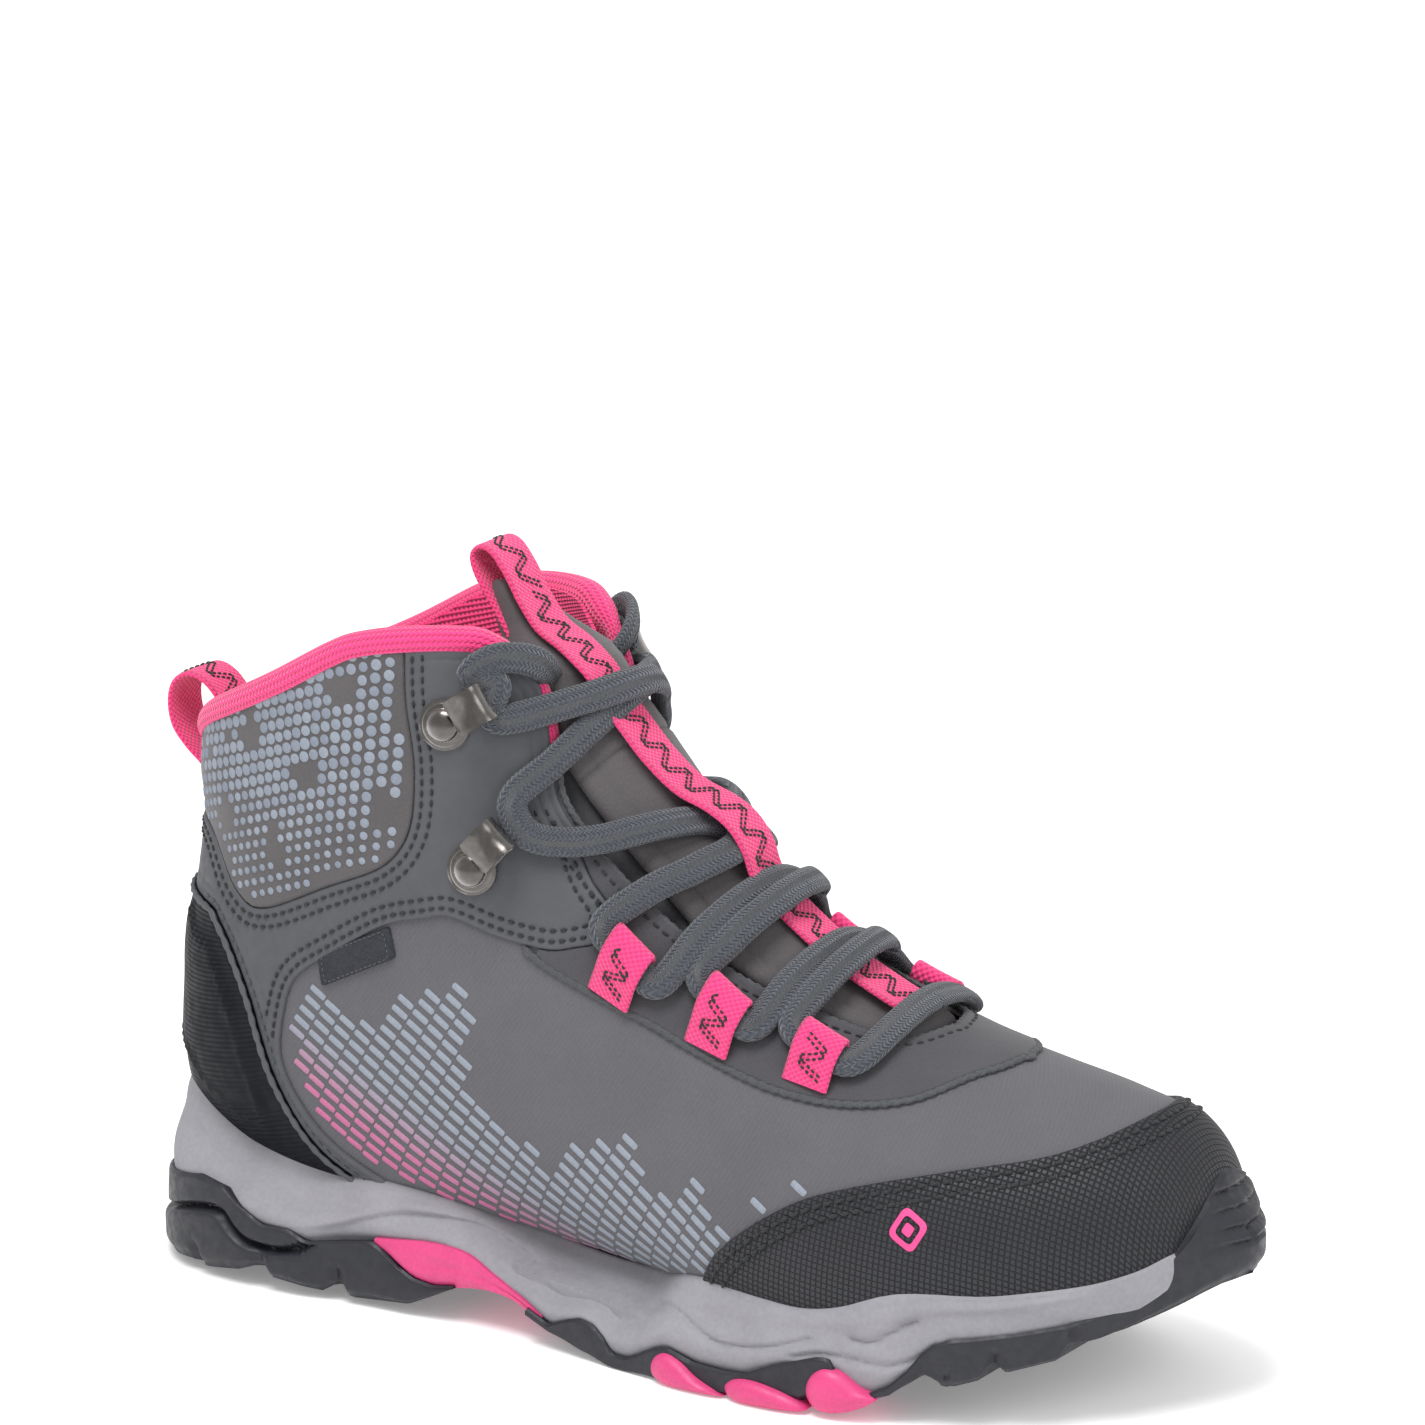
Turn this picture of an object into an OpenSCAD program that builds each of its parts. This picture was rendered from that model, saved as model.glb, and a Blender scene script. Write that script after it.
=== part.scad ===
/* [Boot size] */
// Length of the sole from heel to toe
sole_length = 254; // [246:1:262]
// Width of the sole across the ball of the foot
sole_width = 89; // [86:1:92]
// Height of the top of the pull loop on the tongue
boot_height = 160; // [156:1:166]

/* [Materials] */
// Thickness of the soft outer fabric
fabric_t = 1.1; // [0.9:0.1:1.2]
// Thickness of the sewn overlays
overlay_t = 0.9; // [0.7:0.1:1.0]
// Thickness of the moulded heel counter
counter_t = 2; // [1.6:0.1:2.1]
// Thickness of the mesh lining
lining_t = 0.8; // [0.6:0.1:0.9]
// Clearance kept between layers that are glued or sewn in the real boot
gap = 0.15; // [0.12:0.01:0.18]

/* [Straps and laces] */
// Width of the webbing lace loops
loop_w = 12; // [10:1:13]
// Width of the strap on the tongue
strap_w = 10; // [9:1:11]
// Thickness of all webbing
webbing_t = 1.1; // [0.9:0.1:1.2]
// Width of the flat lace
lace_w = 6; // [5:0.5:6.5]
// Thickness of the flat lace
lace_t = 2; // [1.6:0.1:2.2]

/* [Lace hooks] */
// Radius of a hook's round base
hook_r = 5; // [4.5:0.1:5.5]
// Thickness of the hook's sheet steel
hook_t = 1; // [0.8:0.1:1.2]
// Radius of the rivet head
rivet_r = 3.4; // [3:0.1:3.8]
// Radius of the rivet's shank
shank_r = 1.4; // [1.2:0.1:1.6]

/* [Hidden] */

// The shape is laid out on a size with the heel's rear edge at x = 0 and the ground at z = 0,
// then fitted to the driving dimensions. The part's origin is under the heel's tread.
origin_x = 35;
layout_length = 254;
layout_width = 89;
layout_height = 160;
kx = sole_length / layout_length;
ky = sole_width / layout_width;
kz = boot_height / layout_height;
wide = 200;
puff_t = 0.7;
pad_t = 3;

// Layers, as distances outside (+) or inside (-) the outer fabric's face
overlay_in = gap;
overlay_out = gap + overlay_t;
shell_in = -fabric_t;
stiff_out = shell_in - gap;
stiff_in = stiff_out - puff_t;
lining_out = stiff_in - gap;
lining_in = lining_out - lining_t;

function fit(p) = [(p.x - origin_x) * kx, p.y * ky, p.z * kz];
function unit(v) = v / norm(v);
function mix(a, b, t) = a + (b - a) * t;
function spline(p, q, r, s, t) = 0.5 * (2 * q + (r - p) * t
    + (2 * p - 5 * q + 4 * r - s) * t * t + (3 * q - p - 3 * r + s) * t * t * t);

// ---- The boot's surface: sections from the toe, round the ankle and up the shaft ----
// Each row: top x, top z, bottom x, bottom z, centre y, lateral and medial half width,
// share of the height at the widest line, roundness above it and below it.
SECTIONS = [
    [241, 45, 241.5, 26, 5, -13, -13, 0.60, 2, 2.2],
    [244.5, 38, 244.5, 31, 7, 0, 0, 0.60, 2, 2.2],
    [241.5, 50.5, 241.5, 22, 6.5, 17, 16, 0.60, 2, 2.2],
    [233.5, 59.5, 233.5, 15, 5, 27, 26, 0.60, 2, 2.3],
    [219.5, 63.5, 219.5, 11, 4, 34.5, 33.5, 0.62, 2, 2.4],
    [202, 67, 201, 9, 3, 39.5, 38, 0.65, 2, 2.6],
    [184, 72, 180, 9, 2, 42, 39.5, 0.68, 1.95, 2.8],
    [165, 80, 155, 10, 2, 41.5, 37, 0.68, 1.9, 2.8],
    [147, 91, 127, 13, 2, 38, 33.5, 0.64, 1.9, 2.6],
    [131, 106, 93, 15, 1.5, 35, 31, 0.58, 1.95, 2.5],
    [119, 119, 50, 14, 1, 33.5, 31, 0.52, 2.05, 2.5],
    [111, 129, 10, 30, 0.5, 33, 31, 0.47, 2.15, 2.6],
    [106, 136, 5.5, 62, 0, 32.5, 31, 0.46, 2.2, 2.5],
    [102.5, 143, 9.5, 95, 0, 31.5, 30.5, 0.47, 2.25, 2.4],
    [100, 150, 8.5, 124, 0, 31, 30.5, 0.48, 2.3, 2.4],
    [98, 160, 6, 150, 0, 31.5, 31, 0.48, 2.3, 2.4]
];
last_s = len(SECTIONS) - 1;

function section(s) = let (i = min(floor(s), last_s - 1))
    spline(SECTIONS[i - 1], SECTIONS[i], SECTIONS[i + 1], SECTIONS[min(i + 2, last_s)], s - i);
function skin_face(s, a) = let (
        k = section(s),
        up = abs(a) <= 90,
        n = up ? k[8] : k[9],
        c = pow(abs(cos(a)), 2 / n),
        drop = up ? k[7] * (1 - c) : k[7] + (1 - k[7]) * c,
        half = a < 0 ? -k[5] : k[6])
    fit([mix(k[0], k[2], drop), k[4] + half * pow(abs(sin(a)), 2 / n), mix(k[1], k[3], drop)]);
// Outward direction; a runs from -180 (sole) by -90 (lateral) and 0 (top) to 180
function turned(a) = a < -180 ? a + 360 : a > 180 ? a - 360 : a;
function skin_out(s, a) = unit(cross(
    skin_face(s, turned(a + 1)) - skin_face(s, turned(a - 1)),
    skin_face(min(s + 0.02, last_s), a) - skin_face(max(s - 0.02, 1), a)));
function skin(s, a, off) = skin_face(s, a) + off * skin_out(s, a);

tube_rows = concat([1.05, 1.25, 1.6, 2, 2.5, 3, 4], [for (s = [5:0.5:12]) s], [13, 14, last_s]);
tube_angles = [for (a = [-180:12:168]) a];
face_grid = [for (s = tube_rows) [for (a = tube_angles) skin_face(s, a)]];
out_grid = [for (s = tube_rows) [for (a = tube_angles) skin_out(s, a)]];

// A closed solid through rings of points, with flat ends
module loft(rings) {
    n = len(rings);
    m = len(rings[0]);
    sides = [for (i = [0:n - 2]) for (k = [0:m - 1]) let (
            p = i * m + k,
            q = i * m + (k + 1) % m)
        each [[p, p + m, q + m], [p, q + m, q]]];
    starts = [for (k = [0:m / 2 - 2]) each [[k, k + 1, m - 2 - k], [k, m - 2 - k, m - 1 - k]]];
    ends = [for (f = starts) [for (v = [2, 1, 0]) f[v] + (n - 1) * m]];
    polyhedron([for (r = rings) each r], concat(sides, starts, ends));
}

// The whole boot as one body, at a distance from its face; the ankle may differ from the foot
module tube(foot, ankle = undef) {
    top = is_undef(ankle) ? foot : ankle;
    loft([for (i = [0:len(tube_rows) - 1]) let (
            t = max(0, min(1, tube_rows[i] - 9.6)),
            off = mix(foot, top, t))
        face_grid[i] + off * out_grid[i]]);
}

// A pad that follows the face between two angles
module patch(rows, from, to, inner, outer, cols) {
    loft([for (s = rows) concat(
        [for (j = [0:cols]) skin(s, mix(lookup(s, from), lookup(s, to), j / cols), lookup(s, outer))],
        [for (j = [cols:-1:0]) skin(s, mix(lookup(s, from), lookup(s, to), j / cols), lookup(s, inner))])]);
}

// A smooth closed outline through points, cut right through the boot from the side
function smooth(points, steps) = let (n = len(points)) [for (i = [0:n - 1]) for (t = [0:steps - 1])
    spline(points[(i + n - 1) % n], points[i], points[(i + 1) % n], points[(i + 2) % n], t / steps)];
function side_fit(points) = [for (p = points) [(p[0] - origin_x) * kx, p[1] * kz]];
module side_cut(points, shrink = 0) {
    rotate([90, 0, 0]) linear_extrude(height = wide, center = true) {
        if (shrink == 0) polygon(side_fit(points));
        if (shrink > 0) offset(delta = -shrink) polygon(side_fit(points));
    }
}

// One layer of the upper, kept only inside its children
module layer(inner, outer, inner_ankle = undef, outer_ankle = undef) {
    resize([0, 0, 0]) intersection() {
        difference() {
            tube(outer, outer_ankle);
            tube(inner, inner_ankle);
        }
        children();
    }
}

// ---- Sole outline and heights along it ----
SOLE = [
    [-2.5, 0], [0, -14], [11, -26], [32, -32], [62, -31.5], [92, -33], [122, -38], [150, -43],
    [178, -44], [203, -39.5], [223, -30], [239, -15.5], [251.5, 7], [240, 28], [223, 37],
    [203, 44], [178, 45], [150, 40], [122, 32.5], [92, 28.5], [62, 29.5], [32, 31.5], [11, 26],
    [0, 14]
];
MIDSOLE_LOW = [
    [-6, 24], [12, 19], [24, 16.5], [36, 14.5], [46, 14], [67, 15], [81, 16], [90, 13], [97, 8.5],
    [109, 5.5], [124, 6.5], [140, 5.6], [155, 5], [172, 7], [185, 8.8], [196, 9.8], [208, 13],
    [222, 16], [238, 21.5], [243, 25]
];
MIDSOLE_TOP = [
    [243, 32], [231, 29.7], [218, 28.7], [206, 27.7], [192, 24.6], [174, 21.8], [162, 21.4],
    [150, 22], [140, 20.8], [129, 17.6], [113, 17.3], [97, 19.5], [79, 24.6], [63, 26.3],
    [51, 26], [36, 27.5], [24.5, 30], [14, 36], [5, 42], [-6, 41]
];
COLLAR_TOP = [
    [-20, 118], [8, 119], [19, 126], [39, 136], [55, 145], [63, 148], [75, 150], [87, 150],
    [96, 146], [125, 142]
];
// Floor of the midsole's hollow, as a height along the foot
FOOT_LINE = [
    [-20, 25], [20, 22.5], [50, 22], [75, 21.5], [93, 19], [127, 14.5], [155, 12.5], [180, 12.5],
    [201, 14], [219, 16.5], [233, 20], [248, 27], [262, 33]
];

function lowered(points, by) = [for (p = points) [p[0], p[1] - by]];
function reversed(points) = [for (i = [len(points) - 1:-1:0]) points[i]];
module sole_plan() {
    linear_extrude(height = 60) polygon([for (p = smooth(SOLE, 2)) [(p[0] - origin_x) * kx, p[1] * ky]]);
}

// ---- Regions of the upper, seen from the side ----
ANKLE_FRONT = [
    [125, 122], [106, 119], [106.5, 114], [109, 106], [113, 99], [118.5, 93], [117.5, 87],
    [112, 85.5], [106, 84.5], [95, 86], [84, 89], [78, 88], [68, 85], [55, 77], [44, 69],
    [42, 62], [41, 51], [46, 40], [54, 32], [70, 23]
];
COUNTER_EDGE = [[62, 22], [48, 31], [39, 46], [33, 65], [25, 78], [17, 81.5], [-20, 84]];
PANEL_EDGE = [
    [-20, 100], [8, 99], [20, 97], [30, 86.5], [38, 84.5], [55, 92], [68, 98], [74, 106],
    [75, 119], [72.5, 134], [72, 148]
];
TOE_CAP_EDGE = [
    [140, 8], [147, 22], [155, 32], [169, 42], [182, 47], [201, 51.5], [219, 55], [230, 59.5],
    [238, 65], [242, 75]
];
seam = 0.3;

function below_collar(by) = concat([[-20, 0]], lowered(COLLAR_TOP, by), [[260, 142], [260, 0]]);
module above_floor(by) {
    side_cut(concat(lowered(FOOT_LINE, -by), [[262, 200], [-20, 200]]));
}
module upper_region(trim) {
    intersection() {
        side_cut(below_collar(trim));
        above_floor(gap);
    }
}

// Half angle of the throat's opening, by section
THROAT = [
    [5.95, 4], [6.05, 14], [6.3, 20], [7, 26], [8, 34], [9, 39], [10, 39], [10.6, 39], [11.1, 34],
    [11.7, 31], [12.5, 29], [13.8, 29], [14.3, 38], [15, 60]
];
// Half angle of the seam where the throat panel meets the outer shell
SEAM = [
    [5.05, 3], [5.12, 10], [5.29, 18], [5.71, 34], [6.34, 44], [7.05, 50], [7.71, 54], [8.38, 58],
    [9, 63], [9.7, 66]
];
function scaled(table, by, plus) = [for (r = table) [r[0], r[1] * by + plus]];

module throat_opening(grow = 0) {
    rows = concat([5.95, 6.05, 6.3, 6.65], [for (s = [7:0.5:15]) s]);
    patch(rows, scaled(THROAT, -1, -grow), scaled(THROAT, 1, grow), [[0, -13]], [[0, 8]], 8);
}
module throat_window() {
    rows = concat([5.05, 5.12, 5.29, 5.5, 5.71, 6, 6.34], [for (s = [6.7:0.35:9.5]) s], [9.7, 10.2, 10.8]);
    patch(rows, scaled(SEAM, -1, 0), scaled(SEAM, 1, 0), [[0, -1]], [[0, 4]], 12);
}

// ---- Hooks: section, angle, and the direction of the open mouth ----
HOOKS_LOW = [10.7, 64];
HOOKS_UP = [12.8, 62];
function hook_sites() = [for (h = [HOOKS_LOW, HOOKS_UP]) for (side = [-1, 1]) [h[0], h[1] * side]];
// Sets children on the face: z outward, x towards the throat
module on_skin(s, a, off) {
    z = skin_out(s, a);
    ahead = skin_face(s, a * 0.8) - skin_face(s, a) + [0, 0, 3.5];
    x = unit(ahead - z * (ahead * z));
    y = cross(z, x);
    p = skin(s, a, off);
    multmatrix([[x.x, y.x, z.x, p.x], [x.y, y.y, z.y, p.y], [x.z, y.z, z.z, p.z]]) children();
}
module rivet_holes(r) {
    for (h = hook_sites()) on_skin(h[0], h[1], -3.6) cylinder(r = r, h = 8, $fn = 16);
}

// ---- Bands: webbing and laces ----
// A band through points; sides are the directions of its width
module band(points, sides, w, t) {
    n = len(points);
    loft([for (i = [0:n - 1]) let (
            along = unit(points[min(i + 1, n - 1)] - points[max(i - 1, 0)]),
            flat = sides[i] - along * (sides[i] * along),
            side = unit(flat) * w / 2,
            up = unit(cross(along, side)) * t / 2)
        [points[i] + side + up, points[i] - side + up, points[i] - side - up, points[i] + side - up]]);
}
function skin_path(path) = [for (q = path) skin(q[0], q[1], q[2])];
// A band that lies flat on the boot, through [section, angle, height] points
module lying_band(path, w, t) {
    points = skin_path(path);
    n = len(points);
    sides = [for (i = [0:n - 1]) cross(
        points[min(i + 1, n - 1)] - points[max(i - 1, 0)], skin_out(path[i][0], path[i][1]))];
    band(points, sides, w, t);
}

// ================= Sole unit =================
heel_breast = 76;
forefoot_start = 112;
HEEL_GROUND = [[-6, 6], [2, 3], [12, 0], [heel_breast - 2, 0], [heel_breast, 2.5]];
module heel_outsole() {
    color([0.16, 0.17, 0.19]) difference() {
        intersection() {
            sole_plan();
            side_cut(concat(HEEL_GROUND, [[heel_breast + 4, 14.8], [67, 14.8]],
                reversed([for (p = lowered(MIDSOLE_LOW, gap)) if (p[0] < 67) p])));
        }
        for (x = [14:13:66]) translate([(x - origin_x) * kx, 0, -1]) {
            for (side = [-1, 1]) translate([0, side * 27 * ky, 0]) rotate([0, 0, side * 12])
                cube([3.2, 34, 10], center = true);
        }
    }
}

FORE_GROUND = [
    [forefoot_start, 3.2], [118, 1], [126, 0], [188, 0], [196, 4], [205, 7.5], [215, 10.4],
    [229, 13.5], [240, 17], [248, 22], [256, 30]
];
module forefoot_outsole() {
    color([0.16, 0.17, 0.19]) resize([0, 0, 0]) difference() {
        union() {
            intersection() {
                sole_plan();
                side_cut(concat(FORE_GROUND, [[243, 24.6]],
                    reversed([for (p = lowered(MIDSOLE_LOW, gap))
                        if (p[0] > forefoot_start && p[0] < 243) p]),
                    [[forefoot_start, 5]]));
            }
            intersection() {
                sole_plan();
                side_cut([[243.4, 20], [243.4, 32.4], [238, 33.4], [239, 46], [242, 51], [246.5, 49.5],
                    [250, 42], [252.5, 33], [252, 25], [250, 21]]);
            }
        }
        tube(overlay_out + gap);
        for (x = [128, 140, 156, 175, 194, 206, 218, 230]) let (rise = max(0, x - 190) * 0.35)
            translate([(x - origin_x) * kx, 0, rise]) rotate([0, rise > 0 ? -16 : 0, 0])
                for (side = [-1, 1]) translate([0, side * 30 * ky, 0]) rotate([0, 0, -side * 14])
                    cube([3, 46, 6], center = true);
        pad_seats(gap);
    }
}

PADS = [[147, -36.5], [166, -38.5], [184, -37.5], [147, 33.5], [166, 36.5], [184, 38.5]];
module pad_shape(grow) {
    translate([0, 0, -grow]) cylinder(r = 6.6 + grow, h = 4 + 2 * grow);
}
module pad_seats(grow) {
    for (p = PADS) translate([(p[0] - origin_x) * kx, p[1] * ky, p[0] > 180 ? 1 : 0.4]) pad_shape(grow);
}
module ball_pads() {
    color([0.93, 0.2, 0.47]) pad_seats(0);
}

module arch_shank() {
    color([0.93, 0.2, 0.47]) intersection() {
        sole_plan();
        side_cut([[heel_breast + 4.3, 14.6], [heel_breast + 0.6, 3.6], [84, 9], [91, 10.6], [100, 6.6],
            [109, 3.2], [forefoot_start - gap, 3], [forefoot_start - gap, 5.2], [109, 5.2], [97, 8.2],
            [90, 12.7], [81, 15.7]]);
    }
}

module midsole() {
    color([0.6, 0.6, 0.6]) resize([0, 0, 0]) difference() {
        intersection() {
            sole_plan();
            side_cut(concat(MIDSOLE_LOW, MIDSOLE_TOP));
        }
        intersection() {
            union() {
                tube(overlay_out + gap);
                intersection() {
                    tube(counter_t + 3 * gap);
                    side_cut([[-20, 0], [-20, 60], [70, 60], [70, 0]]);
                }
            }
            above_floor(0);
        }
    }
}

module floor_slab(low, high, inset, heel_inset) {
    line = [for (p = FOOT_LINE) if (p[0] < 240) p];
    resize([0, 0, 0]) intersection() {
        tube(inset, heel_inset);
        side_cut(concat(lowered(line, -low), reversed(lowered(line, -high))));
    }
}
module shank_plate() {
    line = [for (p = FOOT_LINE) if (p[0] >= 50 && p[0] <= 127) p];
    color("silver") intersection() {
        side_cut(concat(lowered(line, -gap), reversed(lowered(line, -1.2))));
        cube([wide * 2, 14, wide], center = true);
    }
}
module insole_board() {
    color([0.72, 0.68, 0.6]) floor_slab(1.4, 3, shell_in - gap, shell_in - gap);
}
module footbed() {
    color([0.25, 0.25, 0.27]) floor_slab(4.2, 8.2, lining_in - 1, lining_in + puff_t - pad_t - 1);
}

// ================= Upper =================
module outer_shell() {
    color([0.4, 0.4, 0.4]) layer(shell_in, 0) difference() {
        upper_region(4);
        throat_opening();
        rivet_holes(shank_r + 0.2);
    }
}
module throat_panel() {
    color([0.42, 0.41, 0.4]) layer(overlay_in, overlay_out) difference() {
        intersection() {
            throat_window();
            side_cut(concat([[104, 60]],
                reversed([for (p = ANKLE_FRONT) if (p[0] > 105 && p[0] < 120)
                    [p[0] + seam, p[1] - (p[1] < 90 ? 0.4 : 0)]]),
                [[130, 124], [230, 100], [230, 50]]));
        }
        throat_opening();
    }
}
module toe_cap() {
    color([0.13, 0.14, 0.15]) layer(overlay_in, overlay_out) intersection() {
        side_cut(concat(TOE_CAP_EDGE, [[262, 75], [262, 8]]));
        above_floor(gap);
    }
}
// A plain diamond in place of any mark
module toe_badge() {
    color([0.93, 0.2, 0.47]) layer(overlay_out + 0.05, overlay_out + 0.45) intersection() {
        side_cut([[190, 40], [196, 44.5], [202, 40], [196, 35.5]]);
        translate([0, -wide / 2, 0]) cube([wide * 2, wide, wide], center = true);
    }
}
module toe_puff() {
    color([0.8, 0.78, 0.7]) layer(stiff_in, stiff_out) intersection() {
        side_cut([[205, 10], [212, 70], [262, 80], [262, 10]]);
        above_floor(3.5);
    }
}
module heel_counter() {
    color([0.1, 0.11, 0.13]) layer(overlay_in, overlay_in + counter_t) intersection() {
        side_cut(concat(COUNTER_EDGE, [[-20, 20], [66, 20]]));
        above_floor(gap);
    }
}
module heel_stiffener() {
    color([0.8, 0.78, 0.7]) layer(stiff_in, stiff_out) intersection() {
        side_cut([[-20, 20], [-20, 76], [16, 74], [48, 42], [60, 20]]);
        above_floor(3.5);
    }
}
module ankle_panel() {
    color([0.35, 0.36, 0.37]) layer(overlay_in, overlay_out) difference() {
        intersection() {
            upper_region(4);
            side_cut(concat([[140, 170]], ANKLE_FRONT, [for (p = COUNTER_EDGE)
                [p[0] + seam, p[1] + seam]], [[-20, 170]]));
        }
        side_cut(concat(PANEL_EDGE, [[72, 170], [-20, 170]]));
        throat_opening(0.5);
        rivet_holes(shank_r + 0.2);
    }
}
module collar_panel() {
    color([0.6, 0.63, 0.68]) layer(overlay_in, overlay_out) intersection() {
        upper_region(4);
        side_cut(concat(PANEL_EDGE, [[72, 170], [-20, 170]]), seam);
    }
}
module collar_binding() {
    color([0.93, 0.2, 0.47]) layer(lining_in - pad_t + 0.2, overlay_out) difference() {
        side_cut(concat(lowered(COLLAR_TOP, 3.8), reversed(COLLAR_TOP)));
        throat_opening(0.5);
    }
}
module collar_padding() {
    color([0.85, 0.8, 0.6]) resize([0, 0, 0]) difference() {
        intersection() {
            tube(stiff_out);
            side_cut(concat([[-20, 86], [125, 92]], reversed(lowered(COLLAR_TOP, 4))));
        }
        tube(stiff_in, stiff_out - pad_t);
        throat_opening(2);
        rivet_holes(4.9);
    }
}
module lining() {
    color([0.93, 0.25, 0.5]) resize([0, 0, 0]) difference() {
        intersection() {
            tube(lining_out, lining_out + puff_t - pad_t);
            upper_region(4);
        }
        tube(lining_in, lining_in + puff_t - pad_t);
        side_cut(concat(lowered(FOOT_LINE, -3.3), [[262, -20], [-20, -20]]));
        throat_opening(1);
    }
}
module side_tag() {
    color([0.2, 0.2, 0.22]) layer(overlay_out + 0.1, overlay_out + 0.6) intersection() {
        side_cut([[53, 70], [52, 77], [70, 86], [71.5, 79]]);
        translate([0, -wide / 2, 0]) cube([wide * 2, wide, wide], center = true);
    }
}

// ================= Lace loops, hooks and laces =================
// Folded webbing: flat on the panel, turned at the throat edge and brought back over the lace
module lace_loop(s, a) {
    for (side = [-1, 1]) {
        low = overlay_out + 0.9 + webbing_t / 2;
        path = [[a, low], [a - 8, low], [a - 15, low], [a - 19, low + 1.6], [a - 20.5, low + 3.4],
            [a - 19, low + 5.2], [a - 14, low + 5.8], [a - 6, low + 4], [a - 1, low + 2.3]];
        points = [for (q = path) skin(s, side * q[0], q[1])];
        width_dir = skin_face(s + 0.3, side * (a - 10)) - skin_face(s - 0.3, side * (a - 10));
        band(points, [for (q = path) side * width_dir], loop_w, webbing_t);
    }
}
LOOP_FRONT = [6.82, 47];
LOOP_MIDDLE = [7.93, 53];
LOOP_REAR = [8.95, 60];
module loop_front() {
    color([0.93, 0.2, 0.47]) lace_loop(LOOP_FRONT[0], LOOP_FRONT[1]);
}
module loop_middle() {
    color([0.93, 0.2, 0.47]) lace_loop(LOOP_MIDDLE[0], LOOP_MIDDLE[1]);
}
module loop_rear() {
    color([0.93, 0.2, 0.47]) lace_loop(LOOP_REAR[0], LOOP_REAR[1]);
}

// Sheet steel hook: a pierced round base and a neck that turns over the lace
module hook() {
    difference() {
        union() {
            cylinder(r = hook_r, h = hook_t);
            translate([0, -3.5, 0]) cube([9, 7, hook_t]);
        }
        translate([0, 0, -1]) cylinder(r = shank_r + 0.1, h = 4);
    }
    translate([9, 0, 2.6 + hook_t]) rotate([90, 0, 0]) rotate([0, 0, -90])
        rotate_extrude(angle = 180) translate([2.6, -3.5]) square([hook_t, 7]);
    translate([5, -3.5, 5.2 + hook_t]) cube([4, 7, hook_t]);
}
module hook_pair(site) {
    color([0.45, 0.44, 0.43]) for (side = [-1, 1])
        on_skin(site[0], side * site[1], overlay_out + 0.45) hook();
}
module hooks_lower() {
    hook_pair(HOOKS_LOW);
}
module hooks_upper() {
    hook_pair(HOOKS_UP);
}
module hook_rivets() {
    color([0.5, 0.49, 0.48]) for (h = hook_sites())
        on_skin(h[0], h[1], overlay_out + 0.45 + hook_t + 0.05) {
            intersection() {
                translate([0, 0, -1.7]) sphere(r = sqrt(pow(rivet_r, 2) + pow(1.7, 2)));
                cylinder(r = rivet_r + 1, h = 6);
            }
            translate([0, 0, -5]) cylinder(r = shank_r, h = 5.2);
        }
}
module rivet_washers() {
    color([0.6, 0.6, 0.6]) for (h = hook_sites()) on_skin(h[0], h[1], shell_in - gap - 1.1) difference() {
        cylinder(r = 3.6, h = 0.7);
        translate([0, 0, -1]) cylinder(r = shank_r + 0.1, h = 3);
    }
}

// A crossing from one side's loop or hook to the other's, lifted over the tongue
function crossing(from, to, lift) = [for (t = [0:0.125:1]) [
    mix(from[0], to[0], t), mix(from[1], to[1], t),
    mix(from[2], to[2], t) + lift * sin(180 * t)]];
lace_base = 4.6;
module lace_lower() {
    color([0.25, 0.26, 0.28]) {
        lying_band(crossing([6.6, -22, lace_base], [6.6, 22, lace_base], -1), lace_w, lace_t);
        lying_band(crossing([7.05, -22, lace_base], [7.8, 27, lace_base], -1), lace_w, lace_t);
        lying_band(crossing([7.05, 22, lace_base], [7.8, -27, lace_base], 2), lace_w, lace_t);
        lying_band(crossing([8.15, -27, lace_base], [8.85, 33, lace_base], -1), lace_w, lace_t);
        lying_band(crossing([8.15, 27, lace_base], [8.85, -33, lace_base], 2), lace_w, lace_t);
    }
}
module lace_upper() {
    color([0.25, 0.26, 0.28]) {
        lying_band(crossing([9.25, -33, lace_base], [10.4, 44, lace_base], -2.2), lace_w, lace_t);
        lying_band(crossing([9.25, 33, lace_base], [10.4, -44, lace_base], 0.4), lace_w, lace_t);
        lying_band(crossing([10.9, -46, lace_base], [12.4, 44, lace_base], 1), lace_w, lace_t);
        lying_band(crossing([10.9, 46, lace_base], [12.4, -44, lace_base], 4.5), lace_w, lace_t);
    }
}

// ================= Tongue =================
// Distance of the tongue's front from the boot's face, by section: it leans back at the top
TONGUE_FACE = [
    [6.2, -0.6], [8, -0.4], [10, -0.2], [12, -0.6], [12.6, -1.6], [13, -3.2], [13.5, -7], [14, -11.5],
    [14.4, -14]
];
tongue_rows = [for (s = [6.2:0.4:14.2]) s];
tongue_half = [for (r = THROAT) [r[0], min(r[1] - 2.5, 33)]];
module tongue_layer(inner, outer) {
    patch(tongue_rows, scaled(tongue_half, -1, 0), scaled(tongue_half, 1, 0),
        scaled(TONGUE_FACE, 1, inner), scaled(TONGUE_FACE, 1, outer), 6);
}
module tongue() {
    color([0.42, 0.41, 0.4]) tongue_layer(-0.9, 0);
}
module tongue_padding() {
    color([0.85, 0.8, 0.6]) tongue_layer(-3.5, -1.2);
}
module tongue_lining() {
    color([0.3, 0.3, 0.32]) tongue_layer(-4.5, -3.8);
}
strap_lift = [
    [6.4, 1], [8.9, 1], [9.3, 7.4], [10.2, 7.4], [10.6, 1], [14.2, 1]
];
module tongue_strap() {
    color([0.93, 0.2, 0.47]) lying_band([for (s = [6.4:0.3:14.05]) [s, 1,
        lookup(s, TONGUE_FACE) + lookup(s, strap_lift)]], strap_w, webbing_t);
}
function tongue_top() = skin(14.2, 1, lookup(14.2, TONGUE_FACE));
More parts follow.
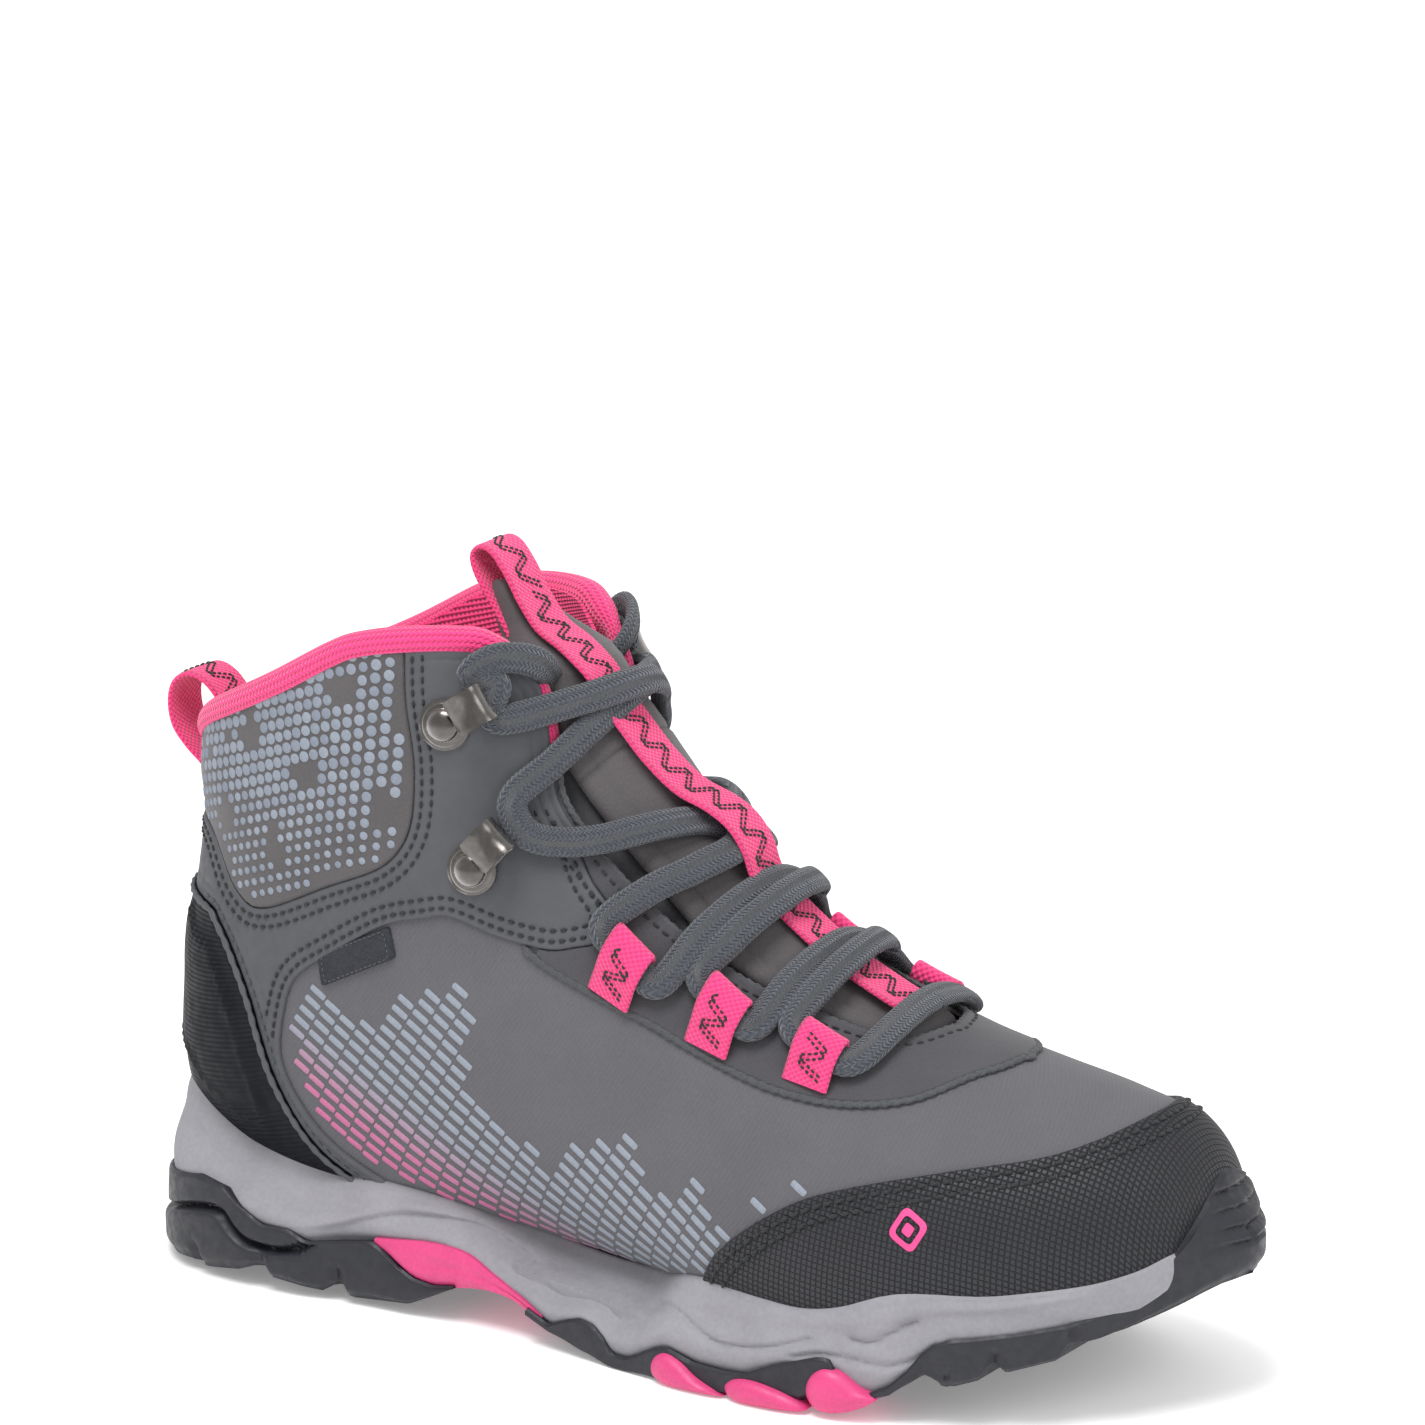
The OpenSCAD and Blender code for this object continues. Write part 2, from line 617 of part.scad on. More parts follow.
module tongue_pull_loop() {
    foot = tongue_top();
    curl = [[2.2, 1], [1.2, 5], [-1.2, 9], [-4.6, 9.6], [-7.6, 7], [-8.4, 2], [-8.4, -3]];
    color([0.93, 0.2, 0.47]) band([for (c = curl) foot + [c[0], 0, c[1]]],
        [for (c = curl) [0, 1, 0]], strap_w, webbing_t);
}
module heel_pull_loop() {
    back = skin_face(13.7, 180);
    curl = [[-3.2, 8], [-6.5, 10.5], [-10.5, 8], [-11.5, 2], [-10, -4], [-6.5, -8], [-3.5, -9.5]];
    color([0.93, 0.2, 0.47]) band([for (c = curl) back + [c[0], 0, c[1]]],
        [for (c = curl) [0, 1, 0]], loop_w, webbing_t);
}

heel_outsole();
forefoot_outsole();
arch_shank();
ball_pads();
midsole();
shank_plate();
insole_board();
footbed();
outer_shell();
throat_panel();
toe_cap();
toe_badge();
toe_puff();
heel_counter();
heel_stiffener();
ankle_panel();
collar_panel();
collar_binding();
collar_padding();
lining();
side_tag();
loop_front();
loop_middle();
loop_rear();
hooks_lower();
hooks_upper();
hook_rivets();
rivet_washers();
lace_lower();
lace_upper();
tongue();
tongue_padding();
tongue_lining();
tongue_strap();
tongue_pull_loop();
heel_pull_loop();
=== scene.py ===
"""Looks of the hiking boot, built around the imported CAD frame. Layout lengths are millimetres."""
import math

import bmesh
import bpy
import numpy as np
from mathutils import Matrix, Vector
from mathutils.bvhtree import BVHTree
from mathutils.kdtree import KDTree


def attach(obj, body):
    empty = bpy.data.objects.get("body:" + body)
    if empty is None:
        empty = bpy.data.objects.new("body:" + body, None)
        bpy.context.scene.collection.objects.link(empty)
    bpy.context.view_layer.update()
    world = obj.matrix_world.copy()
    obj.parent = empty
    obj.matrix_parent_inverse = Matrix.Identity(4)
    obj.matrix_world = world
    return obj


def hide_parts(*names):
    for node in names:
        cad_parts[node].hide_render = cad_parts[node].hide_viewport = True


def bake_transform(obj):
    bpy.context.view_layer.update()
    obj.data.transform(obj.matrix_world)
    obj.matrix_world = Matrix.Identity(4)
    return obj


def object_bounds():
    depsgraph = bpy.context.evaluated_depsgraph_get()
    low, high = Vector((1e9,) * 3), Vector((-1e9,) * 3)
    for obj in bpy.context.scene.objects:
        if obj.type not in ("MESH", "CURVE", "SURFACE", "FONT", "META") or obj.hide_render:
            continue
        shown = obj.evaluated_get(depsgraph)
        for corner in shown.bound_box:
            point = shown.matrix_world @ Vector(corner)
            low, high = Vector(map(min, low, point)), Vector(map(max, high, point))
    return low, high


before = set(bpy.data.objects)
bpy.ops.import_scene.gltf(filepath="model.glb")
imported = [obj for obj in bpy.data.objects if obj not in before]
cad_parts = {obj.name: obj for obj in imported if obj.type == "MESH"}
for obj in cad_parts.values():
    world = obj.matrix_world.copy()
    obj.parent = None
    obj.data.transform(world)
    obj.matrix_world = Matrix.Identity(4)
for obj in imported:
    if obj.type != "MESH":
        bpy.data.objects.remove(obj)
cad_low, cad_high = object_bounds()

# ---------------------------------------------------------------- the layout and the row frame
LAYOUT_SIZE = (254.5, 90.4, 159.4)      # the boot's box on its own layout
LAYOUT_ORIGIN = np.array([35.0, 0.0, 0.0])
UNIT = np.array([(cad_high[i] - cad_low[i]) / LAYOUT_SIZE[i] for i in range(3)])


def row(points):
    """Layout millimetres to metres in the CAD frame."""
    return (np.asarray(points, float) - LAYOUT_ORIGIN) * UNIT


def layout(point):
    """Metres in the CAD frame to layout millimetres."""
    return np.asarray(point, float) / UNIT + LAYOUT_ORIGIN


# ---------------------------------------------------------------- small maths helpers
def ease(x, low, high):
    t = np.clip((np.asarray(x, float) - low) / (high - low), 0, 1)
    return t * t * (3 - 2 * t)


def unit(v):
    return v / (np.linalg.norm(v, axis=-1, keepdims=True) + 1e-12)


def spline(p, q, r, s, t):
    return 0.5 * (2 * q + (r - p) * t + (2 * p - 5 * q + 4 * r - s) * t * t
                  + (3 * q - p - 3 * r + s) * t * t * t)


def smooth_line(points, steps=8, closed=False):
    """A Catmull-Rom curve through points."""
    p = np.asarray(points, float)
    n = len(p)
    spans = n if closed else n - 1
    pick = (lambda i: p[i % n]) if closed else (lambda i: p[min(max(i, 0), n - 1)])
    out = [spline(pick(i - 1), pick(i), pick(i + 1), pick(i + 2), k / steps)
           for i in range(spans) for k in range(steps)]
    return np.array(out if closed else out + [p[-1]])


def resample(points, step):
    """Points along a polyline at an even spacing near step."""
    p = np.asarray(points, float)
    run = np.concatenate([[0], np.cumsum(np.linalg.norm(np.diff(p[:, :3], axis=0), axis=1))])
    at = np.linspace(0, run[-1], max(2, int(round(run[-1] / step)) + 1))
    return np.stack([np.interp(at, run, p[:, k]) for k in range(p.shape[1])], 1)


def table(rows, x):
    rows = np.asarray(rows, float)
    return np.interp(x, rows[:, 0], rows[:, 1])


LATTICE = np.random.default_rng(11).random((32, 32, 32)) * 2 - 1


def noise(points, size, shift=0.0):
    """Smooth value noise from -1 to 1, with lumps about size across."""
    q = np.asarray(points, float) / size + 50 + shift
    i = np.floor(q).astype(int)
    f = q - i
    f = f * f * (3 - 2 * f)
    total = 0
    for corner in np.ndindex(2, 2, 2):
        weight = np.prod(np.where(corner, f, 1 - f), axis=-1)
        j = (i + corner) % 32
        total = total + weight * LATTICE[j[..., 0], j[..., 1], j[..., 2]]
    return total


# ---------------------------------------------------------------- the boot's face
# Each row: top x, top z, bottom x, bottom z, centre y, lateral and medial half width,
# share of the height at the widest line, roundness above it and below it.
SECTIONS = np.array([
    [241, 45, 241.5, 26, 5, -13, -13, .60, 2, 2.2], [244.5, 38, 244.5, 31, 7, 0, 0, .60, 2, 2.2],
    [241.5, 50.5, 241.5, 22, 6.5, 17, 16, .60, 2, 2.2], [233.5, 59.5, 233.5, 15, 5, 27, 26, .60, 2, 2.3],
    [219.5, 63.5, 219.5, 11, 4, 34.5, 33.5, .62, 2, 2.4], [202, 67, 201, 9, 3, 39.5, 38, .65, 2, 2.6],
    [184, 72, 180, 9, 2, 42, 39.5, .68, 1.95, 2.8], [165, 80, 155, 10, 2, 41.5, 37, .68, 1.9, 2.8],
    [147, 91, 127, 13, 2, 38, 33.5, .64, 1.9, 2.6], [131, 106, 93, 15, 1.5, 35, 31, .58, 1.95, 2.5],
    [119, 119, 50, 14, 1, 33.5, 31, .52, 2.05, 2.5], [111, 129, 10, 30, .5, 33, 31, .47, 2.15, 2.6],
    [106, 136, 5.5, 62, 0, 32.5, 31, .46, 2.2, 2.5], [102.5, 143, 9.5, 95, 0, 31.5, 30.5, .47, 2.25, 2.4],
    [100, 150, 8.5, 124, 0, 31, 30.5, .48, 2.3, 2.4], [98, 160, 6, 150, 0, 31.5, 31, .48, 2.3, 2.4],
])
LAST = len(SECTIONS) - 1


def section(s):
    i = np.clip(np.floor(s).astype(int), 1, LAST - 1)
    pick = lambda k: SECTIONS[np.clip(i + k, 0, LAST)]
    return spline(pick(-1), pick(0), pick(1), pick(2), (s - i)[..., None])


def face(s, a):
    """The point of section s (1 toe tip to 15 top) at angle a: 0 top or front, -90 lateral, 180 sole."""
    s, a = np.broadcast_arrays(np.asarray(s, float), np.asarray(a, float))
    a = (a + 180) % 360 - 180
    k = np.moveaxis(section(s), -1, 0)
    up = np.abs(a) <= 90
    n = np.where(up, k[8], k[9])
    c = np.abs(np.cos(np.radians(a))) ** (2 / n)
    drop = np.where(up, k[7] * (1 - c), k[7] + (1 - k[7]) * c)
    half = np.where(a < 0, -k[5], k[6])
    across = k[4] + half * np.abs(np.sin(np.radians(a))) ** (2 / n)
    return np.stack([k[0] + (k[2] - k[0]) * drop, across, k[1] + (k[3] - k[1]) * drop], -1)


def outward(s, a):
    s, a = np.broadcast_arrays(np.asarray(s, float), np.asarray(a, float))
    along = face(np.minimum(s + .03, LAST), a) - face(np.maximum(s - .03, 1.001), a)
    round_ = face(s, a + 1.2) - face(s, a - 1.2)
    return unit(np.cross(round_, along))


def skin(s, a, off=0.0):
    return face(s, a) + np.asarray(off, float)[..., None] * outward(s, a)


ROWS = np.concatenate([np.linspace(1.03, 3, 34, endpoint=False),
                       np.linspace(3, 9, 108, endpoint=False),
                       np.linspace(9, LAST, 116)])
COLUMNS = np.linspace(-180, 180, 241)
X, Y, Z, NX, NY, NZ, SEC, ANG, U, V = range(10)


def face_sheet(rows, columns):
    """Vertices [x y z, normal, section, angle, u, v] and triangles of the whole face."""
    s, a = np.meshgrid(rows, columns, indexing="ij")
    p, n = face(s, a), outward(s, a)
    across = np.linalg.norm(np.diff(p, axis=1), axis=2)
    u = np.concatenate([np.zeros((len(rows), 1)), np.cumsum(across, 1)], 1)
    u -= u[:, [len(columns) // 2]]
    along = np.linalg.norm(np.diff(p, axis=0), axis=2).mean(1)
    v = np.concatenate([[0], np.cumsum(along)])[:, None] + np.zeros_like(s)
    sheet = np.concatenate([p, n, s[..., None], a[..., None], u[..., None], v[..., None]], -1)
    i = np.arange(len(rows) * len(columns)).reshape(len(rows), -1)
    q = np.stack([i[:-1, :-1], i[:-1, 1:], i[1:, 1:], i[1:, :-1]], -1).reshape(-1, 4)
    return sheet.reshape(-1, sheet.shape[-1]), np.concatenate([q[:, [0, 1, 2]], q[:, [0, 2, 3]]])


SHEET, SHEET_TRIS = face_sheet(ROWS, COLUMNS)


def tree_of(points, tris):
    return BVHTree.FromPolygons([Vector(p) for p in points], [tuple(t) for t in tris])


FACE_TREE = tree_of(SHEET[:, :3], SHEET_TRIS)


# ---------------------------------------------------------------- fields and clipping
def poly_field(points, x, z):
    """Signed distance in the side view to a closed outline, positive inside."""
    p = np.asarray(points, float)
    q = np.roll(p, -1, 0)
    best = np.full(len(x), 1e9)
    inside = np.zeros(len(x), bool)
    for (ax, az), (bx, bz) in zip(p, q):
        dx, dz = bx - ax, bz - az
        length = dx * dx + dz * dz
        if length < 1e-9:
            continue
        t = np.clip(((x - ax) * dx + (z - az) * dz) / length, 0, 1)
        best = np.minimum(best, (x - ax - t * dx) ** 2 + (z - az - t * dz) ** 2)
        if az != bz:
            crosses = ((az > z) != (bz > z)) & (x < ax + (z - az) / (bz - az) * dx)
            inside ^= crosses
    return np.where(inside, 1, -1) * np.sqrt(best)


def line_distance(points, x, z):
    """Distance in the side view to an open line."""
    best = np.full(np.shape(x), 1e9)
    for (ax, az), (bx, bz) in zip(points[:-1], points[1:]):
        dx, dz = bx - ax, bz - az
        t = np.clip(((x - ax) * dx + (z - az) * dz) / (dx * dx + dz * dz + 1e-12), 0, 1)
        best = np.minimum(best, (x - ax - t * dx) ** 2 + (z - az - t * dz) ** 2)
    return np.sqrt(best)


def crossing_nodes(f, tris):
    """Where the zero of f crosses triangle edges: pairs of edge ends, and one pair of nodes a triangle."""
    sign = f > 0
    st = sign[tris]
    cut = tris[st.any(1) & ~st.all(1)]
    edges = np.stack([cut[:, [0, 1]], cut[:, [1, 2]], cut[:, [2, 0]]], 1)
    crossing = sign[edges[..., 0]] != sign[edges[..., 1]]
    pair = np.sort(edges[crossing].reshape(-1, 2), axis=1)
    unique, inverse = np.unique(pair, axis=0, return_inverse=True)
    return unique, inverse.reshape(-1, 2)


def nodes_at(sheet, f, ends):
    t = (f[ends[:, 0]] / (f[ends[:, 0]] - f[ends[:, 1]]))[:, None]
    return sheet[ends[:, 0]] * (1 - t) + sheet[ends[:, 1]] * t


def edge_distance(f, reach=16.0, sheet=SHEET, tris=SHEET_TRIS):
    """True distance over the surface to the zero line of f, with the sign of f."""
    ends, links = crossing_nodes(f, tris)
    p = nodes_at(sheet, f, ends)[:, :3]
    a, b = p[links[:, 0]], p[links[:, 1]]
    points = np.concatenate([a + (b - a) * t for t in (0, .2, .4, .6, .8)])
    tree = KDTree(len(points))
    for i, point in enumerate(points):
        tree.insert(point, i)
    tree.balance()
    out = np.sign(f) * reach
    for i in np.nonzero(np.abs(f) < reach * 1.3)[0]:
        out[i] = math.copysign(min(reach, tree.find(sheet[i, :3])[2]), f[i])
    return out


def contour(sheet, tris, f, level=0.0):
    """The lines where f equals level, as lists of sheet rows, longest first."""
    g = f - level + 1.7e-4
    ends, links = crossing_nodes(g, tris)
    rows = nodes_at(sheet, g, ends)
    weld = {}
    names = [weld.setdefault(tuple(np.round(r[:3], 3)), i) for i, r in enumerate(rows)]
    near = {}
    for a, b in links:
        a, b = names[a], names[b]
        if a != b:
            near.setdefault(a, set()).add(b)
            near.setdefault(b, set()).add(a)
    lines = []
    starts = sorted(near, key=lambda k: (len(near[k]) != 1, k))
    used = set()
    for start in starts:
        if start in used:
            continue
        line, here = [start], start
        used.add(start)
        while True:
            nxt = [k for k in sorted(near[here]) if k not in used]
            if not nxt:
                break
            here = nxt[0]
            used.add(here)
            line.append(here)
        if len(line) > 2 and start in near[line[-1]]:
            line.append(start)
        lines.append(rows[line])
    return sorted(lines, key=len, reverse=True)


def split(sheet, tris, column, level, snap=0.1):
    """Cuts the triangles where a column equals level, so that a profile can turn there."""
    sheet = sheet.copy()
    f = sheet[:, column] - level
    sheet[np.abs(f) < snap, column] = level
    f = np.where(np.abs(f) < snap, 0, f)
    sign = np.sign(f)
    st = sign[tris]
    cut = (st.max(1) > 0) & (st.min(1) < 0)
    keep, c = tris[~cut], tris[cut]
    if not len(c):
        return sheet, tris
    sc = sign[c]
    has_zero = (sc == 0).any(1)
    lone = np.where(sc.sum(1)[:, None] > 0, sc < 0, sc > 0)
    first = np.where(has_zero[:, None], sc == 0, lone).argmax(1)
    c = np.stack([c[np.arange(len(c)), (first + k) % 3] for k in range(3)], 1)
    one, two = c[has_zero], c[~has_zero]
    pairs = np.concatenate([one[:, [1, 2]], two[:, [0, 1]], two[:, [0, 2]]])
    unique, inverse = np.unique(np.sort(pairs, 1), axis=0, return_inverse=True)
    inverse = inverse.ravel()
    t = (f[unique[:, 0]] / (f[unique[:, 0]] - f[unique[:, 1]]))[:, None]
    made = sheet[unique[:, 0]] * (1 - t) + sheet[unique[:, 1]] * t
    made[:, column] = level
    made[:, NX:NZ + 1] = unit(made[:, NX:NZ + 1])
    ids = inverse + len(sheet)
    m = ids[:len(one)]
    m1, m2 = ids[len(one):len(one) + len(two)], ids[len(one) + len(two):]
    new = [np.stack(t3, 1) for t3 in (
        (one[:, 0], one[:, 1], m), (one[:, 0], m, one[:, 2]),
        (two[:, 0], m1, m2), (m1, two[:, 1], two[:, 2]), (m1, two[:, 2], m2))]
    return np.concatenate([sheet, made]), np.concatenate([keep] + new)


def drop_unused(sheet, tris):
    used, inverse = np.unique(tris, return_inverse=True)
    return sheet[used], inverse.reshape(-1, 3)


def cut_panel(f, levels, sheet=SHEET, tris=SHEET_TRIS, extra=()):
    """Keeps the part where f > 0, split at the levels; f and the extra fields become columns from 10 on."""
    sheet = np.concatenate([sheet, f[:, None]] + [e[:, None] for e in extra], 1)
    near = (f[tris] > -2.5).any(1)
    sheet, tris = drop_unused(sheet, tris[near])
    for level in [0.0] + list(levels):
        sheet, tris = split(sheet, tris, 10, level, 0.1 if level == 0 else 0.06)
    return drop_unused(sheet, tris[(sheet[tris, 10] >= -1e-9).all(1)])


# ---------------------------------------------------------------- meshes
def make_piece(name, points, faces, material, uv=None, loop_uv=None, tint=None, sharp=55, weld=False):
    """A mesh object in the row frame; faces is a list of index arrays, one array for each face size."""
    faces = [np.asarray(f, int) for f in faces if len(f)]
    mesh = bpy.data.meshes.new(name)
    sizes = np.concatenate([np.full(len(f), f.shape[1]) for f in faces])
    loops = np.concatenate([f.ravel() for f in faces])
    mesh.vertices.add(len(points))
    mesh.vertices.foreach_set("co", row(points).astype(np.float32).ravel())
    mesh.loops.add(len(loops))
    mesh.loops.foreach_set("vertex_index", loops.astype(np.int32))
    mesh.polygons.add(len(sizes))
    mesh.polygons.foreach_set("loop_start", np.concatenate([[0], np.cumsum(sizes)[:-1]]).astype(np.int32))
    mesh.update(calc_edges=True)
    if uv is not None:
        loop_uv = np.asarray(uv)[loops]
    if loop_uv is not None:
        layer = mesh.uv_layers.new(name="UVMap")
        layer.data.foreach_set("uv", np.asarray(loop_uv, np.float32).ravel())
    if tint is not None:
        attribute = mesh.attributes.new("tint", "FLOAT", "POINT")
        attribute.data.foreach_set("value", np.asarray(tint, np.float32))
    if weld:
        bm = bmesh.new()
        bm.from_mesh(mesh)
        bmesh.ops.remove_doubles(bm, verts=bm.verts, dist=2e-6)
        bmesh.ops.dissolve_degenerate(bm, edges=bm.edges, dist=1e-6)
        bmesh.ops.holes_fill(bm, edges=bm.edges, sides=0)
        bmesh.ops.recalc_face_normals(bm, faces=bm.faces)
        bm.to_mesh(mesh)
        bm.free()
    mesh.polygons.foreach_set("use_smooth", [True] * len(mesh.polygons))
    mesh.validate()
    mesh.set_sharp_from_angle(angle=math.radians(sharp))
    obj = bpy.data.objects.new(name, mesh)
    bpy.context.scene.collection.objects.link(obj)
    if material is not None:
        mesh.materials.append(material)
    return obj


def solid_sheet(name, sheet, tris, top, low, material, tint=None, sharp=55):
    """A closed solid between two heights above the face, over the triangles of a cut sheet."""
    base, n = sheet[:, :3], sheet[:, NX:NZ + 1]
    keys, first, weld = np.unique(np.round(base, 4), axis=0, return_index=True, return_inverse=True)
    weld = weld.ravel()
    t = weld[tris]
    good = (t[:, 0] != t[:, 1]) & (t[:, 1] != t[:, 2]) & (t[:, 2] != t[:, 0])
    t, raw = t[good], tris[good]
    count = len(keys)
    up = (base + n * np.broadcast_to(top, len(base))[:, None])[first]
    down = (base + n * np.broadcast_to(low, len(base))[:, None])[first]
    directed = np.concatenate([t[:, [0, 1]], t[:, [1, 2]], t[:, [2, 0]]])
    raw_directed = np.concatenate([raw[:, [0, 1]], raw[:, [1, 2]], raw[:, [2, 0]]])
    key = np.sort(directed, 1)
    key = key[:, 0] * count + key[:, 1]
    _, index, uses = np.unique(key, return_inverse=True, return_counts=True)
    rim = uses[index.ravel()] == 1
    a, b = directed[rim].T
    ra, rb = raw_directed[rim].T
    walls = np.stack([a, a + count, b + count, b], 1)
    uv = sheet[:, [U, V]]
    loop_uv = np.concatenate([uv[raw].reshape(-1, 2), uv[raw[:, ::-1]].reshape(-1, 2),
                              np.stack([uv[ra], uv[ra], uv[rb], uv[rb]], 1).reshape(-1, 2)])
    if tint is not None:
        tint = np.concatenate([np.asarray(tint)[first]] * 2)
    return make_piece(name, np.concatenate([up, down]), [np.concatenate([t, t[:, ::-1] + count]), walls],
                      material, loop_uv=loop_uv, tint=tint, sharp=sharp)


def grid_faces(n, m, closed=False):
    """Quads of an n by m grid; closed joins the last column to the first."""
    i, j = np.meshgrid(np.arange(n - 1), np.arange(m if closed else m - 1), indexing="ij")
    k = (j + 1) % m
    return np.stack([i * m + j, i * m + k, (i + 1) * m + k, (i + 1) * m + j], -1).reshape(-1, 4)


def frames_along(path, up):
    """Unit tangent, side and up at each point of a path."""
    tangent = unit(np.gradient(path, axis=0))
    up = np.broadcast_to(up, path.shape)
    side = unit(np.cross(tangent, up))
    return tangent, side, np.cross(side, tangent)


def swept(path, up, profile, scale=None):
    """Rings of a profile [side, up] along a path; profile may be one ring or one for each point."""
    _, side, top = frames_along(path, up)
    profile = np.broadcast_to(profile, (len(path),) + np.shape(profile)[-2:])
    if scale is not None:
        profile = profile * scale[:, None, None]
    return path[:, None] + profile[..., :1] * side[:, None] + profile[..., 1:] * top[:, None]


def tube_mesh(rings):
    """Points, faces and uv of closed rings with fan-free end caps."""
    n, m = rings.shape[:2]
    half = m // 2
    end = np.array([[k, k + 1, m - 2 - k, m - 1 - k] for k in range(half - 1)])
    points = rings.reshape(-1, 3)
    length = np.concatenate([[0], np.cumsum(np.linalg.norm(np.diff(rings.mean(1), axis=0), axis=1))])
    around = np.linalg.norm(rings - np.roll(rings, 1, 1), axis=2).mean(0).cumsum()
    uv = np.stack(np.broadcast_arrays(length[:, None], around[None, :] - around[half]), -1)
    faces = np.concatenate([grid_faces(n, m, True), end[:, ::-1], end + (n - 1) * m])
    return points, faces, uv.reshape(-1, 2)


def merge_parts(parts):
    """Joins (points, quads, uv) triples into one."""
    points, faces, uvs, base = [], [], [], 0
    for p, f, uv in parts:
        points.append(p)
        faces.append(f + base)
        uvs.append(uv)
        base += len(p)
    return np.concatenate(points), np.concatenate(faces), np.concatenate(uvs)


def rounded_profile(width, thick, corner=4, flat=6):
    """A flat band's cross-section with rounded edges, as [side, up] points."""
    r = thick / 2
    x = np.linspace(-(width / 2 - r), width / 2 - r, flat)
    arc = np.radians(np.linspace(90, -90, corner * 2 + 1))[1:-1]
    right = np.stack([width / 2 - r + r * np.cos(arc), r * np.sin(arc)], 1)
    top = np.stack([x, np.full(flat, r)], 1)
    return np.concatenate([top, right, top[::-1] * [1, -1], right[::-1] * [-1, 1]])


# ---------------------------------------------------------------- materials
def colour(r, g, b):
    """A screen colour, 0 to 255, as linear light."""
    c = np.array([r, g, b]) / 255
    return tuple(np.where(c <= .04045, c / 12.92, ((c + .055) / 1.055) ** 2.4)) + (1.0,)


PINK = colour(246, 60, 128)
PINK_DARK = colour(150, 20, 70)
PRINT_GREY = colour(133, 140, 151)
PRINT_PINK = colour(186, 97, 138)
SHELL_GREY = colour(86, 85, 89)
PANEL_GREY = colour(74, 75, 79)
TONGUE_GREY = colour(80, 77, 79)
THROAT_GREY = colour(66, 65, 69)
NAVY = colour(13, 15, 21)
BLACK_FABRIC = colour(33, 34, 39)
RUBBER = colour(28, 29, 36)
EVA_GREY = colour(138, 137, 142)
LACE_GREY = colour(66, 70, 78)
THREAD_DARK = colour(36, 37, 40)
THREAD_GREY = colour(66, 68, 71)


class Graph:
    """A material's node tree, written from the surface back to its patterns."""

    def __init__(self, name, roughness=0.8, metallic=0.0, sheen=0.0, specular=0.35):
        self.material = bpy.data.materials.new(name)
        self.material.use_nodes = True
        self.nodes = self.material.node_tree.nodes
        self.links = self.material.node_tree.links
        self.surface = self.nodes["Principled BSDF"]
        for key, value in (("Roughness", roughness), ("Metallic", metallic), ("Sheen Weight", sheen),
                           ("Specular IOR Level", specular)):
            self.surface.inputs[key].default_value = value
        self.normal = None

    def put(self, value, socket):
        if isinstance(value, bpy.types.NodeSocket):
            self.links.new(value, socket)
        else:
            socket.default_value = value

    def math(self, operation, a, b=0.0, c=None):
        n = self.nodes.new("ShaderNodeMath")
        n.operation = operation
        for value, socket in zip((a, b, c), n.inputs):
            if value is not None:
                self.put(value, socket)
        return n.outputs[0]

    def wave(self, x, length, phase=0.0):
        """A sine of x from -1 to 1, with its wave length in the units of x."""
        return self.math("SINE", self.math("MULTIPLY_ADD", x, math.tau / length, phase))

    def uv(self):
        parts = self.nodes.new("ShaderNodeSeparateXYZ")
        self.links.new(self.nodes.new("ShaderNodeTexCoord").outputs["UV"], parts.inputs[0])
        return parts.outputs[0], parts.outputs[1]

    def place(self):
        return self.nodes.new("ShaderNodeTexCoord").outputs["Object"]

    def attribute(self, name):
        n = self.nodes.new("ShaderNodeAttribute")
        n.attribute_name = name
        return n.outputs["Fac"]

    def noise(self, lump_mm, detail=3.0, rough=0.55):
        """Noise from 0 to 1 with lumps of a size in millimetres."""
        n = self.nodes.new("ShaderNodeTexNoise")
        self.put(self.place(), n.inputs["Vector"])
        for key, value in (("Scale", 1000 / lump_mm), ("Detail", detail), ("Roughness", rough)):
            n.inputs[key].default_value = value
        return n.outputs["Fac"]

    def ramp(self, x, low, high, a=0.0, b=1.0):
        n = self.nodes.new("ShaderNodeMapRange")
        n.interpolation_type = "SMOOTHSTEP"
        for value, socket in zip((x, low, high, a, b), n.inputs):
            self.put(value, socket)
        return n.outputs[0]

    def blend(self, factor, a, b):
        n = self.nodes.new("ShaderNodeMix")
        n.data_type = "RGBA"
        self.put(factor, n.inputs[0])
        self.put(a, n.inputs[6])
        self.put(b, n.inputs[7])
        return n.outputs[2]

    def shade(self, base, amount):
        """A colour made lighter or darker by a factor near 1."""
        n = self.nodes.new("ShaderNodeVectorMath")
        n.operation = "SCALE"
        self.put(base if isinstance(base, bpy.types.NodeSocket) else base[:3], n.inputs[0])
        self.put(amount, n.inputs["Scale"])
        return n.outputs[0]

    def bump(self, height, depth_mm, strength=1.0):
        n = self.nodes.new("ShaderNodeBump")
        n.inputs["Strength"].default_value = strength
        n.inputs["Distance"].default_value = depth_mm / 1000
        self.put(height, n.inputs["Height"])
        if self.normal is not None:
            self.links.new(self.normal, n.inputs["Normal"])
        self.normal = n.outputs[0]

    def finish(self, base, roughness=None):
        self.put(base, self.surface.inputs["Base Color"])
        if roughness is not None:
            self.put(roughness, self.surface.inputs["Roughness"])
        if self.normal is not None:
            self.links.new(self.normal, self.surface.inputs["Normal"])
        return self.material


def worn(g, base, lump, amount):
    """Base colour with soft patches, lighter and darker by amount."""
    return g.shade(base, g.ramp(g.noise(lump), .3, .7, 1 - amount, 1 + amount))


